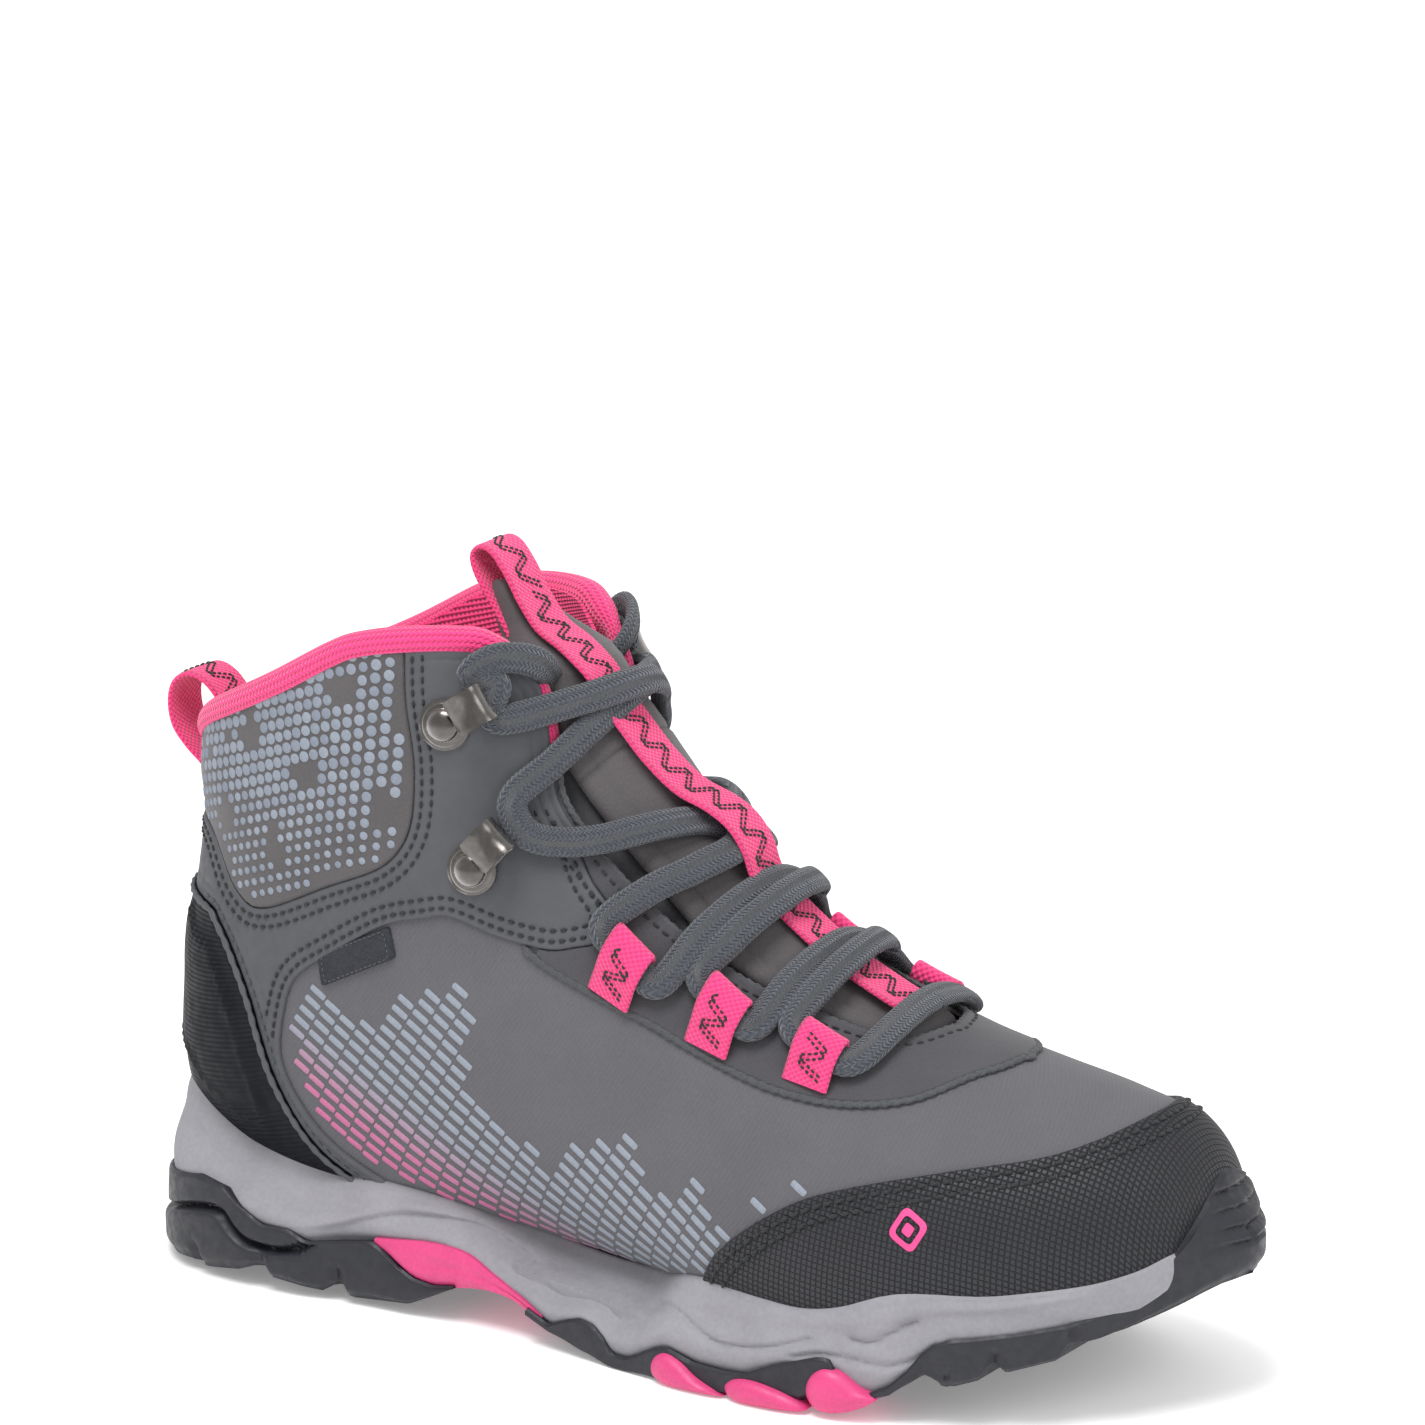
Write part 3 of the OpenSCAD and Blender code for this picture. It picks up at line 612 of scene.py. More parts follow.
def twill(name, base):
    g = Graph(name, .82, sheen=.12)
    parts = g.nodes.new("ShaderNodeSeparateXYZ")
    g.links.new(g.place(), parts.inputs[0])
    x, y, z = (g.math("MULTIPLY", parts.outputs[k], 1000 * share) for k, share in enumerate((.8, .5, -.6)))
    rib = g.wave(g.math("ADD", g.math("ADD", x, y), z), .9)
    grain = g.noise(.5, 2)
    height = g.math("ADD", g.math("MULTIPLY", rib, .3), grain)
    g.bump(height, .1, .7)
    g.bump(g.noise(26, 2), .5, .35)
    tone = g.math("MULTIPLY_ADD", rib, .035, 1.0)
    tone = g.math("MULTIPLY", tone, g.ramp(grain, .25, .75, .9, 1.1))
    return g.finish(g.shade(worn(g, base, 22, .05), tone), g.ramp(grain, .3, .7, .74, .9))


def brushed(name, base, fuzz=.1, patch=.07):
    g = Graph(name, .88, sheen=.2)
    grain = g.noise(.45, 3)
    g.bump(grain, .12, .7)
    g.bump(g.noise(9, 3), .6, .3)
    tone = g.ramp(grain, .25, .75, 1 - fuzz, 1 + fuzz)
    return g.finish(g.shade(worn(g, base, 12, patch), tone), g.ramp(g.noise(6), .3, .7, .8, .94))


def smooth_leather(name, base):
    g = Graph(name, .62, specular=.4)
    cells = g.nodes.new("ShaderNodeTexVoronoi")
    g.put(g.place(), cells.inputs["Vector"])
    cells.inputs["Scale"].default_value = 1000 / .7
    g.bump(cells.outputs["Distance"], .07, .45)
    g.bump(g.noise(18, 3), .5, .25)
    return g.finish(worn(g, base, 16, .05), g.ramp(g.noise(2.5), .3, .7, .54, .7))


def gridded(name, base):
    g = Graph(name, .6, specular=.45)
    u, v = g.uv()
    pitch = 1.2
    a = g.math("ABSOLUTE", g.wave(g.math("ADD", u, g.math("MULTIPLY", v, .12)), pitch * 2))
    b = g.math("ABSOLUTE", g.wave(v, pitch * 2))
    pad = g.math("MINIMUM", g.ramp(a, .12, .62), g.ramp(b, .12, .62))
    g.bump(g.math("MULTIPLY_ADD", g.noise(.4, 2), .25, pad), .28, 1.0)
    tone = g.math("MULTIPLY", g.ramp(pad, 0, 1, .55, 1.12), g.ramp(g.noise(7), .3, .7, .92, 1.08))
    return g.finish(g.shade(base, tone), g.ramp(pad, 0, 1, .85, .5))


def ribbed_plastic(name, base):
    g = Graph(name, .6, specular=.14)
    u, v = g.uv()
    rib = g.wave(g.math("ADD", v, g.math("MULTIPLY", u, .45)), .95)
    g.bump(g.math("MULTIPLY_ADD", g.noise(.5, 2), .3, rib), .08, .8)
    tone = g.math("MULTIPLY_ADD", rib, .06, 1.0)
    return g.finish(g.shade(worn(g, base, 14, .1), tone), g.ramp(g.noise(3), .3, .7, .48, .62))


def rubber(name, base, gloss=.5, speck=.08):
    g = Graph(name, gloss, specular=.45)
    g.bump(g.noise(.6, 4), .09, .5)
    g.bump(g.noise(7, 2), .35, .25)
    dust = g.ramp(g.noise(1.1, 4, .7), .62, .8, 0, .5)
    tone = g.shade(worn(g, base, 9, speck), g.ramp(g.noise(.8, 2), .3, .7, 1 - speck, 1 + speck))
    return g.finish(g.blend(dust, tone, g.shade(base, 1.35)),
                    g.ramp(g.noise(2.2), .3, .7, gloss - .07, gloss + .1))


def foam(name, base):
    g = Graph(name, .72, specular=.3)
    g.bump(g.noise(.8, 4), .1, .5)
    g.bump(g.noise(5, 3), .3, .3)
    tone = g.math("MULTIPLY", g.ramp(g.noise(1.0, 3), .3, .7, .95, 1.05), g.ramp(g.noise(17), .3, .7, .93, 1.05))
    return g.finish(g.shade(base, tone), g.ramp(g.noise(2), .3, .7, .64, .8))


def webbing(name, base):
    g = Graph(name, .75, sheen=.25)
    u, v = g.uv()
    across = g.wave(v, 1.5)
    along = g.wave(u, 1.25)
    plain = g.math("MULTIPLY", across, along)
    yarn = g.wave(g.math("ADD", u, v), .34)
    height = g.math("MULTIPLY_ADD", yarn, .12, plain)
    g.bump(height, .2, 1.0)
    tone = g.math("MULTIPLY", g.ramp(plain, -1, .6, .68, 1.06), g.ramp(g.noise(.5, 2), .3, .7, .93, 1.07))
    return g.finish(g.shade(base, tone), g.ramp(plain, -1, 1, .9, .68))


def knit(name, base, wale=1.25, course=1.05):
    g = Graph(name, .85, sheen=.3)
    u, v = g.uv()
    zig = g.math("MULTIPLY", g.math("ABSOLUTE", g.wave(v, wale * 2)), course * .6)
    loop = g.wave(g.math("ADD", u, zig), course)
    rib = g.math("ABSOLUTE", g.wave(v, wale * 2, .6))
    height = g.math("MULTIPLY_ADD", loop, .45, rib)
    g.bump(height, .26, 1.0)
    tone = g.math("MULTIPLY", g.ramp(height, -.3, 1.2, .6, 1.08), g.ramp(g.noise(.5, 2), .3, .7, .94, 1.06))
    return g.finish(g.shade(base, tone))


def spacer_mesh(name, base):
    g = Graph(name, .85, sheen=.2)
    u, v = g.uv()
    hole = g.math("MULTIPLY", g.wave(g.math("ADD", u, v), 2.3), g.wave(g.math("SUBTRACT", u, v), 2.3))
    g.bump(g.math("MULTIPLY_ADD", g.noise(.4, 2), .3, g.math("MULTIPLY", hole, -1.0)), .3, 1.0)
    return g.finish(g.shade(base, g.ramp(hole, .1, .6, 1.05, .4)))


def braid(name, base):
    g = Graph(name, .8, sheen=.25)
    u, v = g.uv()
    slant = g.math("MULTIPLY", g.math("ABSOLUTE", g.wave(v, 3.2)), .75)
    strand = g.wave(g.math("ADD", u, slant), .95)
    rib = g.wave(v, 1.6)
    height = g.math("MULTIPLY_ADD", rib, .45, strand)
    g.bump(g.math("MULTIPLY_ADD", g.noise(.3, 2), .5, height), .2, 1.0)
    tone = g.math("MULTIPLY", g.ramp(height, -1.3, 1.1, .74, 1.16), g.ramp(g.noise(.5, 3), .3, .72, .72, 1.35))
    return g.finish(g.shade(base, tone))


def gunmetal(name):
    g = Graph(name, .25, metallic=1.0)
    g.bump(g.noise(1.2, 2), .02, .3)
    # Painted reflection and shade: the steel's base colour is dark where it faces the camera and light towards grazing
    # angles; the scuff noise on top is real wear
    facing = g.nodes.new("ShaderNodeLayerWeight")
    facing.inputs["Blend"].default_value = .45
    scuff = g.ramp(g.noise(2.2, 4, .65), .4, .75, 0, .07)
    tone = g.math("ADD", g.ramp(facing.outputs["Facing"], .08, .75), scuff)
    base = g.blend(tone, colour(92, 89, 87), colour(205, 202, 198))
    return g.finish(base, g.ramp(g.noise(1.6, 3), .3, .75, .17, .3))


def thread(name, base):
    g = Graph(name, .7, sheen=.1)
    g.bump(g.noise(.25, 2), .08, 1.0)
    return g.finish(g.shade(base, g.ramp(g.noise(.35, 2), .3, .7, .75, 1.3)))


def print_ink(name, low, high):
    """Printed ink whose colour runs from low to high with the piece's tint, over a woven ground."""
    g = Graph(name, .6)
    u, v = g.uv()
    grain = g.noise(.45, 2)
    g.bump(grain, .06, .6)
    ink = g.blend(g.attribute("tint"), low, high)
    return g.finish(g.shade(ink, g.ramp(grain, .25, .75, .9, 1.08)))


def stitched_tag(name):
    g = Graph(name, .8)
    u, v = g.uv()
    g.bump(g.math("MULTIPLY", g.wave(u, .55), g.wave(v, .5)), .08, 1.0)
    return g.finish(g.shade(colour(46, 48, 54), g.ramp(g.noise(.6, 2), .3, .7, .8, 1.2)))


def board(name, base):
    g = Graph(name, .9)
    g.bump(g.noise(.5, 3), .1, .6)
    return g.finish(g.shade(worn(g, base, 6, .08), g.ramp(g.noise(.6, 3), .3, .7, .88, 1.1)))


M = {
    "shell": twill("softshell_twill", SHELL_GREY),
    "panel": smooth_leather("panel_smooth", PANEL_GREY),
    "brushed": brushed("softshell_brushed", TONGUE_GREY),
    "throat": brushed("throat_leather", THROAT_GREY),
    "toe": gridded("toe_textile", BLACK_FABRIC),
    "counter": ribbed_plastic("counter_plastic", NAVY),
    "rubber": rubber("rubber_black", RUBBER),
    "pink_rubber": rubber("rubber_pink", colour(204, 62, 118), .45, .05),
    "grey_rubber": rubber("rubber_grey", colour(176, 176, 178), .5, .05),
    "eva": foam("foam_grey", EVA_GREY),
    "webbing": webbing("webbing_pink", PINK),
    "knit": knit("collar_knit", PINK),
    "mesh": spacer_mesh("lining_mesh", PINK),
    "dark_mesh": spacer_mesh("lining_dark", colour(70, 70, 74)),
    "lace": braid("lace_braid", LACE_GREY),
    "steel": gunmetal("hook_steel"),
    "thread": thread("thread_dark", THREAD_DARK),
    "grey_thread": thread("thread_grey", THREAD_GREY),
    "print": print_ink("print_dashes", PRINT_GREY, PRINT_PINK),
    "dots": print_ink("print_dots", PRINT_GREY, colour(119, 126, 138)),
    "badge": print_ink("print_badge", colour(212, 70, 132), colour(220, 74, 138)),
    "tag": stitched_tag("tag_fabric"),
    "foam": foam("padding_foam", colour(222, 206, 160)),
    "board": board("insole_board", colour(196, 186, 166)),
    "bed": brushed("footbed_cloth", colour(72, 72, 76), .15),
}


# ---------------------------------------------------------------- outlines of the upper, side view (x, z)
COLLAR_TOP = smooth_line([
    (-20, 118), (8, 119), (19, 126), (39, 136), (55, 145), (63, 148), (75, 150), (87, 150), (96, 146), (125, 142)])
FLOOR_CUT = [(-20, 16), (20, 14), (50, 14), (97, 9), (130, 8), (180, 9), (201, 11), (219, 15), (233, 20),
             (248, 27), (262, 33)]
ANKLE_FRONT = [
    (125, 126), (106, 119), (106.5, 114), (109, 106), (113, 99), (118, 93.5), (118.5, 90), (117, 87), (112, 85.5),
    (106, 84.5), (95, 86), (84, 89), (78, 88), (68, 85), (55, 77), (46, 70.5), (42.5, 62), (41, 51), (46, 40),
    (54, 32), (70, 23), (76, 14)]
COUNTER_EDGE = [(64, 14), (62, 22), (48, 31), (39, 46), (33, 65), (25, 78), (17, 81.5), (-20, 84)]
PANEL_EDGE = [(-20, 100), (8, 99), (20, 97), (30, 86.5), (38, 84.5), (55, 92), (68, 98), (74, 106), (75, 119),
              (72.5, 134), (72, 148)]
TOE_CAP_EDGE = [(136, -6), (140, 8), (147, 22), (155, 32), (169, 42), (182, 47), (201, 51.5), (219, 55), (230, 59.5),
                (238, 65), (242, 75)]
# Half angle of the throat's opening and of the seam round it, by section
THROAT = smooth_line([(5.95, 1), (6.05, 12), (6.3, 20), (7, 26), (8, 34), (9, 39), (10, 39), (10.6, 38), (11.1, 34),
                      (11.7, 31), (12.5, 29), (13.8, 29), (15, 29)])
SEAM = smooth_line([(5.05, 1), (5.12, 10), (5.29, 18), (5.71, 34), (6.34, 44), (7.05, 50), (7.71, 54), (8.38, 58),
                    (9, 63), (9.7, 66), (10.4, 66)])

xs, zs, ss, angles = SHEET[:, X], SHEET[:, Z], SHEET[:, SEC], SHEET[:, ANG]
# Millimetres across the face for one degree, to turn angles into rough distances
PER_DEGREE = np.linalg.norm(face(ss, angles + 1) - face(ss, angles - 1), axis=1) / 2


def blend_min(a, b, radius):
    """The smaller of two fields, with their corner rounded."""
    h = np.clip(.5 + .5 * (b - a) / radius, 0, 1)
    return b * (1 - h) + a * h - radius * h * (1 - h)


def half_angle_field(rows, front):
    """Positive within the half angle given by section; front closes the toe end."""
    width = (table(rows, ss) - np.abs(angles)) * PER_DEGREE
    return np.where(ss < front, np.minimum(width, (ss - front) * 18), width)


def side_panel(points, closing, steps=8):
    return poly_field(list(smooth_line(points, steps)) + closing, xs, zs)


collar_drop = table(COLLAR_TOP, xs) - zs
throat_in = half_angle_field(THROAT, 5.93)
opening_edge = edge_distance(blend_min(collar_drop - 2.2, -throat_in, 9.0))
above_sole = zs - table(FLOOR_CUT, xs)
ankle_area = side_panel(ANKLE_FRONT, [(-30, 14), (-30, 190), (140, 190)])
counter_area = side_panel(COUNTER_EDGE, [(-30, 84), (-30, 14)])
collar_area = side_panel(PANEL_EDGE, [(72, 190), (-30, 190), (-30, 100)])
toe_area = side_panel(TOE_CAP_EDGE, [(262, 75), (262, -6)])
seam_area = half_angle_field(SEAM, 5.02)

OVER = 1.05         # height of the sewn overlays above the outer fabric
COUNTER_OVER = 2.1  # height of the moulded heel counter
EDGE_LEVELS = (.12, .35, .75)


def rounded_edge(f, height, radius=.75):
    """Height of a panel at distance f from its edge, with a rounded border."""
    t = 1 - np.clip(f / radius, 0, 1)
    return height * (.35 + .65 * np.sqrt(np.clip(1 - t * t, 0, 1)))


def groove(f, at, depth=.2, width=.34):
    return -depth * np.exp(-((f - at) / width) ** 2)


def stitch_levels(rows):
    return [at + d for at in rows for d in (-.42, 0, .42)]


def panel(name, f, height, material, rows=(), relief=None, low=.03, radius=.75):
    """An overlay panel: a rounded edge, sunk seam lines at the distances in rows, and any relief."""
    levels = sorted(set([l * radius / .75 for l in EDGE_LEVELS] + stitch_levels(rows)))
    sheet, tris = cut_panel(f, levels)
    top = rounded_edge(sheet[:, 10], height, radius)
    for at in rows:
        top = top + groove(sheet[:, 10], at)
    if relief is not None:
        top = top + relief(sheet)
    return solid_sheet(name, sheet, tris, top, low, material)


# ---------------------------------------------------------------- thread
def stitch_template(length, radius):
    """One stitch along x: a bent capsule whose ends dip into the cloth."""
    along, around = 7, 8
    t = np.linspace(-1, 1, along)
    r = radius * np.sqrt(np.clip(1 - (t * .995) ** 4, 0, 1))
    phi = np.arange(around) / around * math.tau
    x = np.repeat(t * length / 2, around)
    y = (r[:, None] * np.cos(phi)).ravel()
    z = (r[:, None] * np.sin(phi)).ravel() - .42 * np.repeat(t ** 4, around) + radius * .35
    caps = np.array([[0, 1, 6, 7], [1, 2, 5, 6], [2, 3, 4, 5]])
    faces = np.concatenate([grid_faces(along, around, True), caps, caps[:, ::-1] + (along - 1) * around])
    return np.stack([x, y, z], 1), faces


def place_template(template, origins, tangents, ups):
    """Copies of a template at each origin, x along the tangent and z up."""
    points, faces = template
    side = unit(np.cross(ups, tangents))
    tangents = np.cross(side, ups)
    all_points = (origins[:, None] + points[None, :, :1] * tangents[:, None]
                  + points[None, :, 1:2] * side[:, None] + points[None, :, 2:] * ups[:, None])
    all_faces = faces[None] + (np.arange(len(origins)) * len(points))[:, None, None]
    return all_points.reshape(-1, 3), all_faces.reshape(-1, faces.shape[1])


def stitches(name, lines, height, material, pitch=2.6, length=1.95, radius=.3):
    """A row of stitches along each contour line of the face, at a height above it."""
    template = stitch_template(length, radius)
    parts, base = [], 0
    for line in lines:
        rows = resample(line, pitch)
        if len(rows) < 4:
            continue
        points = rows[:, :3] + unit(rows[:, NX:NZ + 1]) * height
        mids = (points[1:] + points[:-1]) / 2
        p, f = place_template(template, mids, unit(points[1:] - points[:-1]), unit(rows[1:, NX:NZ + 1]))
        parts.append((p, f + base))
        base += len(p)
    points, faces = (np.concatenate(x) for x in zip(*parts))
    return make_piece(name, points, [faces], material, sharp=80)


def keep_where(line, test):
    """The runs of a line's rows that pass a test."""
    good = test(line)
    edges = np.nonzero(np.diff(np.concatenate([[0], good.astype(int), [0]])))[0]
    return [line[a:b] for a, b in zip(edges[::2], edges[1::2]) if b - a > 3]


def seam_lines(f, at, test=lambda r: np.ones(len(r), bool), other=None):
    """Contours of a panel's edge distance at one inset, kept where the test passes."""
    sheet = SHEET if other is None else np.concatenate([SHEET, other[:, None]], 1)
    found = [line for line in contour(sheet, SHEET_TRIS, f, at) if len(line) > 8]
    return [run for line in found for run in keep_where(line, test)]


def cord(name, lines, height, material, radius=.85, twist=2.3):
    """A twisted overlock cord along lines of the face."""
    parts = []
    phi = np.arange(10) / 10 * math.tau
    for line in lines:
        rows = resample(line, .45)
        if len(rows) < 8:
            continue
        n = unit(rows[:, NX:NZ + 1])
        path = rows[:, :3] + n * height
        run = np.arange(len(rows)) * .45
        swell = 1 + .22 * np.cos(2 * phi[None] + run[:, None] * math.tau / twist)
        ring = np.stack([np.sin(phi) * 1.15, np.cos(phi) * .8], 1)[None] * swell[..., None] * radius
        parts.append(tube_mesh(swept(path, n, ring)))
    points, faces, uv = merge_parts(parts)
    return make_piece(name, points, [faces], material, uv=uv, sharp=80)


# ---------------------------------------------------------------- the upper
def on(body, slot, obj, *nodes):
    """Puts a piece on its body and hides the CAD nodes it stands for. The slot argument is not used."""
    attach(obj, body)
    if nodes:
        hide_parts(*nodes)
    return obj


def creases(sheet, size=15, depth=.35):
    return depth * noise(sheet[:, :3], size) + depth * .4 * noise(sheet[:, :3], size * .4, 5)


def build_shell():
    f = np.minimum(opening_edge, above_sole)
    sheet, tris = cut_panel(f, (.4, .9))
    top = np.minimum(.0, -.5 + sheet[:, 10]) + .25 * creases(sheet)
    on("boot", "softshell_grey", solid_sheet("outer_shell_fabric", sheet, tris, top, -1.1, M["shell"]), "outer_shell")


def build_toe_cap():
    f = edge_distance(toe_area)
    full = np.minimum(f, above_sole)
    piece = panel("toe_cap_textile", full, OVER, M["toe"], (2.3, 5.0), lambda t: .12 * noise(t[:, :3], 16))
    on("boot", "toe_textile", piece, "toe_cap")
    visible = lambda r: r[:, Z] > 20
    lines = [l for at in (2.3, 5.0) for l in seam_lines(f, at, visible)]
    on("boot", None, stitches("toe_cap_stitching", lines, OVER + .04, M["thread"], 2.5, 1.95, .42))


def build_counter():
    f = edge_distance(counter_area)
    full = np.minimum(f, above_sole)
    rim = [(13, 78), (17, 73.5), (21, 72.5), (24.5, 68), (28, 61), (30.5, 52), (33.5, 41), (34.5, 36.5), (31, 36),
           (25, 37.5), (19, 41), (13, 46.5), (4, 52)]
    crest = [(28, 61), (31.5, 57), (33, 49), (34, 39)]

    def relief(t):
        d = line_distance(smooth_line(rim), t[:, X], t[:, Z])
        inside = ease(poly_field(list(smooth_line(rim)) + [(-20, 52), (-20, 78)], t[:, X], t[:, Z]), -.5, 3.0)
        c = line_distance(smooth_line(crest), t[:, X], t[:, Z])
        fade = ease(t[:, 10], .6, 3.2)
        return fade * (.85 * np.exp(-(d / .95) ** 2) + .55 * inside + .35 * np.exp(-(c / 1.1) ** 2)) - .1

    piece = panel("heel_counter_shell", full, COUNTER_OVER - .55, M["counter"], (), relief)
    on("boot", "counter_plastic", piece, "heel_counter")
    folded = cord("heel_counter_piping", seam_lines(f, .1, lambda r: r[:, Z] > 22), OVER + .6, M["panel"], .62, 3.4)
    on("boot", None, folded)
    lines = seam_lines(-f, 2.0, lambda r: (r[:, Z] > 24) & (r[:, X] > 19))
    on("boot", None, stitches("heel_edge_stitching", lines, OVER - .12, M["grey_thread"], 2.5, 1.8, .3))


def build_ankle():
    outer = np.minimum(ankle_area, opening_edge - 1.2)
    f = np.minimum(np.minimum(edge_distance(ankle_area), -edge_distance(collar_area) - .25),
                   np.minimum(-edge_distance(counter_area) - .3, opening_edge - 1.4))
    full = np.minimum(f, above_sole)
    puff = lambda t: .7 * ease(t[:, Z], 92, 128) * ease(t[:, 10], 1, 14) + .3 * creases(t, 17)
    piece = panel("ankle_panel_leather", full, OVER, M["panel"], (1.7, 3.9), puff)
    on("boot", "softshell_smooth", piece, "ankle_panel")
    visible = lambda r: (r[:, Z] > 24) & (r[:, 10] > 2.2)
    near_seam = np.minimum(-counter_area - 1, opening_edge - 1.4)
    rows_front = [l for at in (1.7, 3.9) for l in seam_lines(edge_distance(ankle_area), at, visible, near_seam)]
    rows_collar = [l for at in (1.95, 4.15) for l in seam_lines(-edge_distance(collar_area), at, visible, near_seam)]
    lines = rows_front + rows_collar
    on("boot", None, stitches("ankle_panel_stitching", lines, OVER - .05, M["thread"], 2.35, 1.7, .33))
    edge = lambda r: (np.abs(r[:, ANG]) < 60) & (r[:, Z] < 140)
    throat = [l for at in (4.6, 6.8) for l in seam_lines(opening_edge, at, lambda r: edge(r) & (r[:, 10] > .8)
                                                         & (r[:, Z] < 113), ankle_area)]
    if throat:
        on("boot", None, stitches("throat_edge_stitching", throat, OVER, M["thread"], 2.35, 1.7, .3))


def build_collar_panel():
    f = np.minimum(edge_distance(collar_area), opening_edge - 1.4)
    puff = lambda t: .9 * ease(t[:, 10], .5, 12)
    piece = panel("collar_panel_cloth", f, OVER - .25, M["brushed"], (), puff)
    on("boot", "dotted_textile", piece, "collar_panel")
    return f


def build_throat_panel():
    f = edge_distance(seam_area)
    full = np.minimum(np.minimum(f, opening_edge), -edge_distance(ankle_area) - .2)
    piece = panel("throat_panel_leather", full, OVER, M["throat"], (), lambda t: .2 * creases(t, 10))
    on("boot", "leather_grey", piece, "throat_panel")
    away = lambda r: r[:, 10] < -.6
    seam = seam_lines(f, -.35, away, ankle_area)
    on("boot", None, cord("throat_seam_cord", seam, .55, M["grey_thread"], .68, 2.4))
    inner = seam_lines(opening_edge, 2.2, lambda r: (r[:, 10] < -1) & (r[:, SEC] > 5.5), ankle_area)
    on("boot", None, stitches("throat_rim_stitching", inner, OVER - .05, M["thread"], 2.6, 2.0, .34))
    rim = seam_lines(opening_edge, .15, lambda r: (r[:, SEC] < 10.9), ankle_area)
    on("boot", None, cord("throat_rim_cord", rim, .45, M["grey_thread"], .62, 2.2))


build_shell()
build_toe_cap()
build_counter()
build_ankle()
collar_field = build_collar_panel()
build_throat_panel()


# ---------------------------------------------------------------- collar, lining and tongue
TONGUE_FACE = [(6.2, -.6), (8, -.4), (10, -.2), (12, -.6), (12.6, -1.6), (13, -3.2), (13.5, -7), (14, -11.5),
               (14.4, -14), (14.8, -16.4)]
TONGUE_TOP = 14.75
TONGUE_PLY = 4.2


def build_collar_binding():
    line = contour(SHEET, SHEET_TRIS, opening_edge, 0)[0]
    ring = max(keep_where(np.concatenate([line, line]), lambda r: r[:, SEC] > 11.35), key=len)
    half = len(ring)
    ring = smooth_line(resample(ring[:half, :8], 5.0), 9)
    s, a = ring[:, SEC], ring[:, ANG]
    n = unit(ring[:, NX:NZ + 1])
    path = ring[:, :3]
    profile = np.array([
        (-4.0, .5), (-4.1, 1.2), (-3.2, 1.75), (-1.8, 2.0), (-.4, 1.8), (.8, 1.0), (1.5, -.2), (1.7, -1.6),
        (1.3, -3.0), (.4, -4.1), (-1.2, -4.9), (-3.4, -5.3), (-6, -5.6), (-8.2, -5.6), (-8.4, -5.1), (-6, -4.7),
        (-3.6, -4.2), (-2, -3.4), (-1.3, -2.2), (-1.5, -.9), (-2.4, 0), (-3.4, .3)])
    profile = smooth_line(profile, 3, closed=True)
    front = (1 - ease(s, 13.2, 13.9)) * (np.abs(a) < 60)
    scale = .88 - .36 * front
    tangent = unit(np.gradient(path, axis=0))
    into = unit(np.cross(n, tangent))
    middle = path.mean(0)
    if ((middle - path) * into).sum(1).mean() < 0 and into[len(into) // 2, 2] < 0:
        into = -into
    if into[len(into) // 2, 2] < 0:
        into = -into
    swell = 1 + .05 * noise(path, 9)
    p = profile[None] * (scale * swell)[:, None, None]
    p[..., 1] -= (front * .35)[:, None]
    rings = path[:, None] + p[..., :1] * into[:, None] + p[..., 1:] * n[:, None]
    piece_points, faces, uv = tube_mesh(rings)
    piece = make_piece("collar_binding_knit", piece_points, [faces], M["knit"], uv=uv, weld=True, sharp=70)
    on("boot", "print_pink", piece, "collar_binding", "collar_padding")


def build_lining():
    f = np.minimum(opening_edge - 1.2, zs - table([(-20, 30), (40, 29), (90, 26), (127, 21), (180, 19), (262, 36)], xs))
    sheet, tris = cut_panel(f, ())
    deep = 2.2 + 2.3 * ease(sheet[:, SEC], 9.6, 10.6)
    piece = solid_sheet("boot_lining_mesh", sheet, tris, -deep, -deep - .8, M["mesh"])
    on("boot", "mesh_pink", piece, "lining")


def tongue_half(s):
    return np.minimum(table(THROAT, s) - 2.0, 33) + 7 * ease(s, 12.2, 13.2)


def build_tongue():
    side = (tongue_half(ss) - np.abs(angles)) * PER_DEGREE
    top = (TONGUE_TOP - ss) * 8.5
    f = edge_distance(blend_min(np.minimum(side, (ss - 6.1) * 18), top, 8.0))
    sheet, tris = cut_panel(f, (.15, .5, 1.1, 2.1))
    f, s, a = sheet[:, 10], sheet[:, SEC], sheet[:, ANG]
    front = table(TONGUE_FACE, s) - 5.0 * ease(np.abs(a), 22, 38) * ease(s, 11.8, 12.8)
    ball = 2.1 * (1 - np.sqrt(np.clip(1 - (1 - np.clip(f / 2.1, 0, 1)) ** 2, 0, 1)))
    quilt = -.8 * np.exp(-((s - 10.62) / .045) ** 2) - .7 * np.exp(-((s - 9.35) / .04) ** 2)
    quilt = quilt - .6 * np.exp(-((f - 5.2) / .5) ** 2) * (s < 13.6)
    top = front - ball + quilt + .9 * ease(f, 5, 14) + .5 * creases(sheet, 13, .5)
    low = front - TONGUE_PLY * .5 - .1 + 0 * f
    piece = solid_sheet("tongue_padded", sheet, tris, top, low, M["brushed"])
    on("tongue_body", "leather_grey", piece, "tongue")
    low_back = front - TONGUE_PLY + ball - .3 * ease(f, 2, 10)
    back = solid_sheet("tongue_lining_mesh", sheet, tris, low - .02, low_back, M["dark_mesh"])
    on("tongue_body", "lining_grey", back, "tongue_lining")
    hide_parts("tongue_padding")


def build_gusset():
    for name, side in (("lateral", -1), ("medial", 1)):
        inner = (np.abs(angles) - (tongue_half(ss) - 7)) * PER_DEGREE
        outer = (table(THROAT, ss) + 5 - np.abs(angles)) * PER_DEGREE
        span = np.minimum((ss - 6.25) * 18, (12.3 - ss) * 14)
        f = np.where(angles * side > 0, np.minimum(np.minimum(inner, outer), span), -9.0)
        sheet, tris = cut_panel(f, ())
        top = -2.2 - .9 * np.sin(np.pi * ease(sheet[:, 10], 0, 7)) - 1.9
        piece = solid_sheet(f"tongue_gusset_{name}", sheet, tris, top, top - .5, M["bed"])
        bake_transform(piece)


